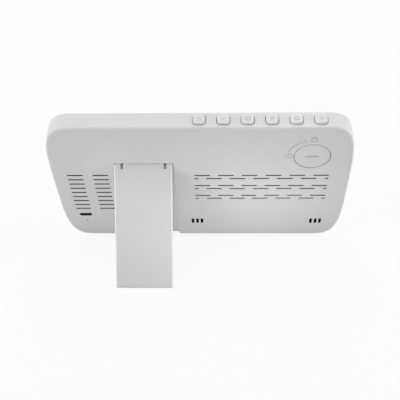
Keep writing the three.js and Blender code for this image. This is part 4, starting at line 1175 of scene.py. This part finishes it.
def cut_door_seat(cover):
    """The groove round the door, and the notches that its lugs pass through."""
    wide = DOOR_RADIUS + DOOR_GAP
    moat = build("moat", pin(wide, DOOR_GROOVE_DEPTH, DOOR_LEDGE_HIGH + SEAT, DOOR_PLACE))
    carve(moat, pin(wide - DOOR_GROOVE, DOOR_LEDGE_LOW, 0, DOOR_PLACE))
    combine(cover, moat)
    notch = build("notch", pin(LUG_RADIUS + SLIP, DOOR_LEDGE_LOW - PAST, NOTCH_TOP, DOOR_PLACE))
    half = LUG_HALF + FIT
    x, y = DOOR_PLACE
    trim(notch, block(x - half, x + half, y - LUG_SPAN, y + LUG_SPAN, -LUG_ROOM, PAST))
    combine(cover, notch)


def rear_cover():
    tub = stack(body_outline, soft_levels(-BODY_DEPTH, 0, FRONT_EDGE, BACK_EDGE))
    cover = build("rear_cover_shell", tub)
    carve(cover, flat(body_outline(-WALL), -BODY_DEPTH - PAST, RIM_FLOOR))
    combine(cover, cover_cavity())
    cut_slots(cover)
    cut_stand_recess(cover)
    cut_openings(cover)
    cut_door_seat(cover)
    carve(cover, *pocket_cutters())
    carve(cover, *pilot_cutters())
    fit(cover, BACK, HOUSING, "rear_cover")


def gauze():
    """A near-black sheet in every slot of the back, a little under the surface: painted shade for the dark
    inside of the slots.
    """
    levels = [(-WALL, -SHADE_SHEET_GAP), (-SHADE_SHEET_DEPTH, -SHADE_SHEET_GAP)]
    pieces = vent_rows("gauze", levels, SLOT_SHADE)
    for name, middle in zip(("buzzer_gauze", "sensor_gauze"), SOUND_MIDDLES):
        pieces.append(sound_row(name, levels, middle, SLOT_SHADE))
    for piece in pieces:
        fit(piece, BACK, SLOT_SHADE)


# Socket
def usb_shell():
    low, high, middle = seat_of("usb_shell", BACK)
    width, height = high.x - low.x, high.y - low.y
    levels = soft_levels(low.z, high.z, USB_EDGE, USB_EDGE, steps=3)
    shell = build("usb_socket_shell", stack(oblong(width, height), levels, middle))
    inside = oblong(width, height, USB_SHELL_WALL)
    carve(shell, stack(inside, flared_cut(low.z + USB_SHELL_WALL, high.z, USB_EDGE), middle))
    # The shell's near-black metal is painted shade inside the socket
    fit(shell, BACK, SOCKET_SHADE_STEEL, "usb_shell")


def usb_tongue():
    """The tongue, with a row of contact strips on each side of it."""
    low, high, middle = seat_of("usb_tongue", BACK)
    width, height = high.x - low.x, high.y - low.y
    levels = soft_levels(low.z, high.z, 0, TONGUE_EDGE, steps=3)
    tongue = build("usb_socket_tongue", stack(rounded(width, height, TONGUE_EDGE, steps=4), levels, middle))
    fit(tongue, BACK, BLACK, "usb_tongue")
    strip = block(
        -CONTACT_HALF, CONTACT_HALF, -CONTACT_PROUD, CONTACT_PROUD,
        low.z + CONTACT_FOOT, high.z - CONTACT_TIP,
    )
    first = (row_start(middle[0], CONTACT_COLUMNS), high.y)
    strips = in_rows("usb_contacts", strip, CONTACT_COLUMNS, (2, height), first, BRASS)
    fit(strips, BACK, BRASS)


def usb_liner():
    levels = soft_levels(-USB_SKIN, LINER_TOP, 0, LINER_EDGE, steps=3)
    liner = build("usb_liner", stack(oblong(*USB_SIZE, LINER_GAP), levels, USB_PLACE))
    carve(liner, stack(oblong(*USB_SIZE, LINER_WALL), flared_cut(-WALL, 0, LINER_EDGE), USB_PLACE))
    fit(liner, BACK, BLACK)


# Battery door and the marks beside it
def battery_door():
    high = -DOOR_FLUSH
    low = high - DOOR_THICK
    levels = soft_levels(low, high, DOOR_FOOT_EDGE, DOOR_EDGE, steps=5)
    door = build("battery_door_disc", stack(circle(DOOR_RADIUS), levels))
    join(door, pin(NECK_RADIUS, LUG_LOW, low + DOOR_THICK / 2))
    lugs = build("lugs", pin(LUG_RADIUS, LUG_LOW, LUG_HIGH))
    trim(lugs, block(-LUG_SPAN, LUG_SPAN, -LUG_HALF, LUG_HALF, -LUG_ROOM, LUG_ROOM))
    combine(door, lugs, "UNION")
    carve(door, pin(NECK_BORE, LUG_LOW - PAST, low))
    slit = oblong(DOOR_SLIT_LENGTH, DOOR_SLIT_WIDTH)
    carve(door, stack(slit, flared_cut(high - DOOR_SLIT_DEPTH, high, DOOR_SLIT_FLARE)))
    door.data.transform(Matrix.Translation((*DOOR_PLACE, 0)))
    fit(door, BACK, HOUSING, "battery_door", "battery_door")


def door_seal():
    """Black ring that lies in the groove round the door."""
    outer = circle(DOOR_RADIUS + DOOR_GAP - SEAL_GAP)
    inner = circle(DOOR_RADIUS + DOOR_GAP - DOOR_GROOVE + SEAL_GAP)
    foot = DOOR_GROOVE_DEPTH + SEAL_GAP
    seal = build("door_seal", stack(outer, soft_levels(foot, SEAL_TOP, 0, SEAL_EDGE, steps=3), DOOR_PLACE))
    carve(seal, stack(inner, flared_cut(foot - PAST, SEAL_TOP, SEAL_EDGE), DOOR_PLACE))
    fit(seal, BACK, BLACK)


def padlock(mark, swing):
    """Case and shackle of a small padlock; swing slides the shackle sideways when it is open."""
    x = DOOR_PLACE[0] + mark[0]
    y = DOOR_PLACE[1] + mark[1] - LOCK_DROP
    case = rounded(*LOCK_SIZE, LOCK_CORNER, steps=4)()
    bow = arc(swing, BOW_UP, BOW_RADIUS, 0, 180, steps=12)
    shackle = [(bow[0][0], BOW_FREE_END if swing else BOW_FOOT), *bow, (bow[-1][0], BOW_FOOT)]
    return [
        moved(ribbon(case, MARK_LINE, MARK_FOOT, MARK_PROUD, looped=True), x, y),
        moved(ribbon(shackle, MARK_LINE, MARK_FOOT, MARK_PROUD), x, y),
    ]


def door_marks():
    locks = build("door_lock_marks", *padlock(LOCKED_MARK, 0), *padlock(OPEN_MARK, OPEN_SWING))
    fit(locks, BACK, MARK)
    dash = block(-ARC_DASH / 2, ARC_DASH / 2, -MARK_LINE / 2, MARK_LINE / 2, MARK_FOOT, MARK_PROUD)
    dashes = repeat("door_arc_marks", ARC, dash, {
        "Count": ARC_DASHES,
        "Radius": ARC_RADIUS,
        "Start": radians(ARC_START),
        "Sweep": radians(ARC_SWEEP),
    }, DOOR_PLACE, MARK)
    fit(dashes, BACK, MARK)


# Stand
def stand_level(depth, above):
    """How far along the open stand a line above the table lies, at a depth of its plate."""
    tilt = radians(OPEN_ANGLE - LEAN)
    return (above - HINGE[2] * METRE - depth * sin(tilt)) / cos(tilt)


def stand_plate():
    half = STAND_WIDTH / 2
    right = half - STAND_TRIM
    thick = STAND_THICK / 2
    lowest = stand_level(thick, -PAST)
    outline = [
        (-half, lowest),
        (right, lowest),
        (right, STAND_HEEL - STAND_CORNER),
        (right - STAND_CORNER, STAND_HEEL),
        (STAND_CORNER - half, STAND_HEEL),
        (-half, STAND_HEEL - STAND_CORNER),
    ]
    plate = build("stand_plate", flat(outline, -thick, thick))
    soften(plate, STAND_EDGE, steps=5)
    slit = rounded(STAND_SLIT_WIDTH, 2 * STAND_SLIT_LENGTH, SLIT_CORNER, steps=4)
    flare = SLIT_EDGE + PAST
    levels = [(-thick - PAST, flare), (SLIT_EDGE - thick, 0), (thick - SLIT_EDGE, 0), (thick + PAST, flare)]
    carve(plate, *[stack(slit, levels, (x, STAND_HEEL)) for x in (-SLIT_MIDDLE, SLIT_MIDDLE)])
    reach = half + TRUNNION_LENGTH
    root = half - TRUNNION_ROOT
    for x0, x1 in ((root, reach), (-reach, -root)):
        join(plate, bar(TRUNNION_RADIUS, x0, x1, 0, 0, steps=32))
    past = thick + PAST
    end = SOLE_THICK + SEAT
    offcut = [
        (lowest - PAST, -past),
        (lowest - PAST, past),
        (stand_level(past, end), past),
        (stand_level(-past, end), -past),
    ]
    carve(plate, beam(offcut, -reach, reach))
    fit(plate, STAND, STAND_FINISH, "stand_panel", "stand")


def rubber_block(name, node, face, edge, finish, body="clock_body"):
    """A rubber piece on its CAD node's own outline, with its edges taken off."""
    shape = bmesh.new()
    shape.from_mesh(frame["nodes"][node].data)
    bmesh.ops.remove_doubles(shape, verts=shape.verts, dist=WELD)
    bmesh.ops.dissolve_limit(shape, angle_limit=radians(FLAT_ANGLE), verts=shape.verts, edges=shape.edges)
    piece = build(name)
    shape.to_mesh(piece.data)
    shape.free()
    piece.data.transform(face.inverted())
    soften(piece, edge)
    fit(piece, face, finish, node, body)


# Buttons
def icon_line(points, looped=False, line=ICON_LINE):
    return ribbon(points, line, ICON_FOOT, ICON_PROUD, looped)


def icon_dot(radius):
    return stack(circle(radius, steps=16), [(ICON_FOOT, 0), (ICON_PROUD, -ICON_PROUD)])


def icon_chevron(rise):
    return [icon_line([(-CHEVRON_HALF, -rise), (0, rise), (CHEVRON_HALF, -rise)])]


def icon_ring():
    return [icon_line(circle(RING_RADIUS, steps=24)(), looped=True), icon_dot(RING_DOT)]


def icon_bars():
    return [icon_line([(-BAR_HALF, y), (BAR_HALF, y)]) for y in (-BAR_UP, BAR_UP)]


def icon_bell():
    dome = arc(0, BELL_UP, BELL_HALF, 0, 180, steps=12)
    wide, low = BELL_BRIM
    sides = [(wide, low), (BELL_HALF, BELL_WAIST), *dome, (-BELL_HALF, BELL_WAIST), (-wide, low)]
    return [icon_line(sides, looped=True)]


def icon_sun():
    rays = [icon_dot(SUN_RADIUS)]
    for i in range(RAY_COUNT):
        turn = i * 2 * pi / RAY_COUNT
        ray = [(reach * cos(turn), reach * sin(turn)) for reach in (RAY_START, RAY_END)]
        rays.append(icon_line(ray, line=RAY_LINE))
    return rays


DOWN = icon_chevron(-CHEVRON_RISE)
UP = icon_chevron(CHEVRON_RISE)
ICONS = dict(zip(BUTTON_NUMBERS, (icon_sun(), icon_bell(), icon_bars(), icon_ring(), DOWN, UP)))


def button(number):
    node = f"button_{number}"
    low, high, middle = seat_of(node, TOP)
    x, y, z = middle
    top = high.z
    flange_top = BODY_HEIGHT - SIDE_WALL - FIT
    flange_foot = flange_top - BUTTON_FLANGE
    levels = soft_levels(flange_foot, top - BUTTON_CROWN, 0, BUTTON_EDGE)
    levels += [(top - BUTTON_CROWN * share, grow) for share, grow in CROWN_LEVELS]
    cap = stack(rounded(BUTTON_SIZE, BUTTON_SIZE, BUTTON_RADIUS), levels, middle)
    piece = build(f"button_cap_{number}", cap)
    half = BUTTON_SIZE / 2
    wide = half + BUTTON_FLANGE
    join(piece, block(x - wide, x + wide, y - half, y + half, flange_foot, flange_top))
    join(piece, pin(STEM_RADIUS, low.z, flange_top - STEM_ROOT, middle, steps=24))
    fit(piece, TOP, BUTTON, node, node)
    mark = build(f"button_mark_{number}", *[moved(shell, x, y, top - ICON_SUNK) for shell in ICONS[number]])
    fit(mark, TOP, ICON, body=node)


# Front
def front_panel():
    face = seat_of("front_panel", FRONT)[1].z
    back = face - PANEL_THICK
    inset = WALL + SLIP
    levels = [(z, grow - inset) for z, grow in soft_levels(back, face, 0, PANEL_EDGE, steps=5)]
    panel = build("front_face", stack(body_outline, levels))
    low, high, place = seat_of("display_lens", FRONT)
    width, height = high.x - low.x + 2 * SLIP, high.y - low.y + 2 * SLIP
    rebate = rounded(width, height, WINDOW_RADIUS)
    carve(panel, stack(rebate, flared_cut(low.z - SEAT, face, WINDOW_FLARE), place))
    window = rounded(width - 2 * WINDOW_REBATE, height - 2 * WINDOW_REBATE, WINDOW_RADIUS - WINDOW_REBATE)
    carve(panel, flat(window(), back - PAST, face, place))
    carve(panel, *[
        pin(LEDGE_HOLE, back - PAST, face + PAST, middle, steps=16) for low, high, middle in LEDGE_SCREWS
    ])
    half = CLIP_WIDTH / 2
    arm = SIDE_WALL + FIT
    end = back - CLIP_REACH
    for spot in clip_spots():
        join(panel, clip_block(spot, half, arm, arm + CLIP_THICK, end, back + CLIP_ROOT))
        join(panel, clip_block(spot, half, arm - BARB_REACH, arm + CLIP_THICK / 2, end, end + BARB_LENGTH))
    fit(panel, FRONT, HOUSING, "front_panel")


def segment_digit(number, x, y, width, height, line):
    half, tall = width / 2, height / 2
    tip = line / 2
    gap = line * SEGMENT_GAP
    run = half - line / 2 - gap
    rise = tall / 2 - line / 2 - gap
    level = [(-run - tip, 0), (-run, -tip), (run, -tip), (run + tip, 0), (run, tip), (-run, tip)]
    upright = [(0, -rise - tip), (tip, -rise), (tip, rise), (0, rise + tip), (-tip, rise), (-tip, -rise)]
    spots = [
        (0, tall, level),
        (half, tall / 2, upright),
        (half, -tall / 2, upright),
        (0, -tall, level),
        (-half, -tall / 2, upright),
        (-half, tall / 2, upright),
        (0, 0, level),
    ]
    shells = []
    for lit, (dx, dy, points) in zip(SEGMENTS[number], spots):
        if lit:
            shells.append(flat(points, LIT_FOOT, LIT_PROUD, (x + dx, y + dy)))
    return shells


def display():
    """The dark window, and the lit numbers on it."""
    low, high, place = seat_of("display_lens", FRONT)
    ring = rounded(high.x - low.x, high.y - low.y, WINDOW_RADIUS - SLIP)
    lens = build("display_window", stack(ring, soft_levels(low.z, high.z, 0, LENS_EDGE, steps=4), place))
    fit(lens, FRONT, LENS, "display_lens")
    shells = []
    for numbers, places, up, size in LIT_ROWS:
        for number, across in zip(numbers, places):
            shells += segment_digit(number, across, up, *size)
    for up in COLON_UPS:
        shells.append(pin(COLON_RADIUS, LIT_FOOT, LIT_PROUD, (0, up), steps=24))
    dash = rounded(*DATE_DASH_SIZE, DATE_DASH_CORNER, steps=3)()
    shells.append(flat(dash, LIT_FOOT, LIT_PROUD, DATE_DASH_PLACE))
    degree = circle(DEGREE_RADIUS, steps=24)()
    shells.append(moved(ribbon(degree, DEGREE_LINE, LIT_FOOT, LIT_PROUD, looped=True), *DEGREE_PLACE))
    digits = build("display_digits", *[moved(shell, place[0], place[1], high.z) for shell in shells])
    fit(digits, FRONT, SEGMENT)


def charging_pad():
    low, high, place = seat_of("charging_pad", FRONT)
    top = high.z
    disc = stack(circle((high.x - low.x) / 2), soft_levels(low.z, top, 0, PAD_EDGE, steps=4), place)
    pad = build("charging_disc", disc)
    edge = top - PAD_RING_FLARE
    outer = [(top - PAD_RING_DEPTH, 0), (edge, 0), (top + PAST, PAST)]
    inner = [(top - PAD_RING_ROOM, 0), (edge, 0), (top + PAD_RING_OVER, -PAD_RING_OVER - PAD_RING_FLARE)]
    ring = build("ring_groove", stack(circle(PAD_RING_RADIUS + PAD_RING_HALF), outer, place))
    carve(ring, stack(circle(PAD_RING_RADIUS - PAD_RING_HALF), inner, place))
    combine(pad, ring)
    fit(pad, FRONT, SILICONE, "charging_pad")
    mark = build("charging_mark", flat(BOLT, top - BOLT_FOOT, top + BOLT_PROUD, place))
    fit(mark, FRONT, PALE_RUBBER)


def phone_ledge():
    low, high, middle = seat_of("phone_ledge", FRONT)
    section = [
        (low.y, low.z),
        (low.y, high.z),
        (high.y, high.z),
        (high.y, high.z - LEDGE_LIP),
        (low.y + LEDGE_THICK, high.z - LEDGE_LIP),
        (low.y + LEDGE_THICK, low.z),
    ]
    ledge = build("phone_shelf", beam(section, low.x, high.x))
    soften(ledge, LEDGE_EDGE, steps=4)
    carve(ledge, *[
        pin(PILOT_RADIUS, low.z - PAST, end.z + FIT, at, steps=16) for start, end, at in LEDGE_SCREWS
    ])
    fit(ledge, FRONT, HOUSING, "phone_ledge")


def shelf_pad():
    """The rubber on the shelf, ribbed across."""
    low, high, middle = seat_of("ledge_pad", FRONT)
    pad = build("shelf_pad", block(low.x, high.x, low.y, high.y, low.z, high.z))
    soften(pad, SHELF_PAD_EDGE)
    fit(pad, FRONT, SILICONE, "ledge_pad")
    root, top = high.y - RIB_ROOT, high.y + RIB_HEIGHT
    rib = beam([
        (root, low.z + RIB_FOOT_END),
        (top, low.z + RIB_TOP_END),
        (top, high.z - RIB_TOP_END),
        (root, high.z - RIB_FOOT_END),
    ], -RIB_WIDTH / 2, RIB_WIDTH / 2)
    columns = (int((high.x - low.x - RIB_MARGIN) / RIB_PITCH), RIB_PITCH)
    first = (row_start(middle[0], columns), 0)
    ribs = in_rows("shelf_pad_ribs", rib, columns, ONE_ROW, first, SILICONE)
    fit(ribs, FRONT, SILICONE)


def inner_pieces():
    for name, node in frame["nodes"].items():
        if "_screw_" in name:
            finish = STEEL
        elif name.startswith("key_switch_"):
            finish = BLACK
        else:
            finish = INNER_FINISHES.get(name)
        if finish:
            node.material_slots[0].material = finish


# Floor, lights and camera
def seen_rays(tree):
    """One for the rays that show the white as it is, nothing for those that light the object."""
    path = tree.nodes.new("ShaderNodeLightPath").outputs
    seen = Tone(tree, path["Is Camera Ray"]) + Tone(tree, path["Is Glossy Ray"])
    seen = seen + Tone(tree, path["Is Transmission Ray"])
    return seen.sum("MINIMUM", seen, 1.0)


def pale_floor():
    material = bpy.data.materials.new("pale_floor")
    material.use_nodes = True
    tree = material.node_tree
    tree.nodes.clear()
    place = place_in(tree)
    away = place.node("ShaderNodeVectorMath", {"operation": "LENGTH"}, {0: place}, output=1)
    bare = FLOOR_WHITE + away.between(FADE_START, FADE_END) * (1.0 - FLOOR_WHITE)
    paper = place.node("ShaderNodeBsdfDiffuse", None, {"Color": grey(FLOOR_GREY)})
    white = place.node("ShaderNodeEmission", None, {"Color": grey(1.0), "Strength": 1.0})
    mixed = place.node("ShaderNodeMixShader", None, {0: seen_rays(tree) * bare, 1: paper, 2: white})
    feed(tree.nodes.new("ShaderNodeOutputMaterial"), "Surface", mixed)
    return material


def floor():
    mesh = bpy.data.meshes.new("floor")
    corners = [(x * FLOOR_HALF, y * FLOOR_HALF, 0) for x, y in ((-1, -1), (1, -1), (1, 1), (-1, 1))]
    mesh.from_pydata(corners, [], [(0, 1, 2, 3)])
    mesh.materials.append(pale_floor())
    ground = bpy.data.objects.new("floor", mesh)
    ground.location.z = CAD_BOX[0][2] - FLOOR_DROP
    bpy.context.scene.collection.objects.link(ground)


def lamp(name, kind, place, aim, power):
    lamp_data = bpy.data.lights.new(name, kind)
    lamp_data.energy = power
    light = bpy.data.objects.new(name, lamp_data)
    light.location = place
    light.rotation_euler = (Vector(aim) - Vector(place)).to_track_quat("-Z", "Y").to_euler()
    bpy.context.scene.collection.objects.link(light)
    return lamp_data


def lights():
    for name, (place, aim, size, power) in SOFT_BOXES.items():
        box = lamp(name, "AREA", place, aim, power)
        box.shape = "RECTANGLE"
        box.size, box.size_y = size
    for name, (place, aim, cone, power) in SOFT_SPOTS.items():
        spot = lamp(name, "SPOT", place, aim, power)
        spot.spot_size = radians(cone)
        spot.spot_blend = 1.0
        spot.shadow_soft_size = SPOT_RADIUS


def background():
    world = bpy.data.worlds.new("studio")
    bpy.context.scene.world = world
    world.use_nodes = True
    white = world.node_tree.nodes["Background"]
    hold(white, "Color", grey(1.0))
    feed(white, "Strength", seen_rays(world.node_tree))


def camera():
    lens = bpy.data.cameras.new("camera")
    lens.lens = CAMERA_LENS
    lens.sensor_width = CAMERA_SENSOR
    lens.sensor_fit = "HORIZONTAL"
    lens.clip_start = CAMERA_NEAR
    view = bpy.data.objects.new("camera", lens)
    view.location = BODY @ Vector(CAMERA_PLACE)
    view.rotation_euler = Euler([radians(turn) for turn in CAMERA_TURN])
    bpy.context.scene.collection.objects.link(view)
    bpy.context.scene.camera = view


camera()
floor()
lights()
background()
bpy.context.scene.view_settings.view_transform = "Standard"

rear_cover()
gauze()
usb_shell()
usb_tongue()
usb_liner()
battery_door()
door_seal()
door_marks()
stand_plate()
rubber_block("stand_sole", "stand_foot", STAND, SOLE_EDGE, PALE_RUBBER, "stand")
rubber_block("left_foot_block", "foot_left", BODY, FOOT_EDGE, SILICONE)
rubber_block("right_foot_block", "foot_right", BODY, FOOT_EDGE, SILICONE)
for number in BUTTON_NUMBERS:
    button(number)
front_panel()
display()
charging_pad()
phone_ledge()
shelf_pad()
inner_pieces()
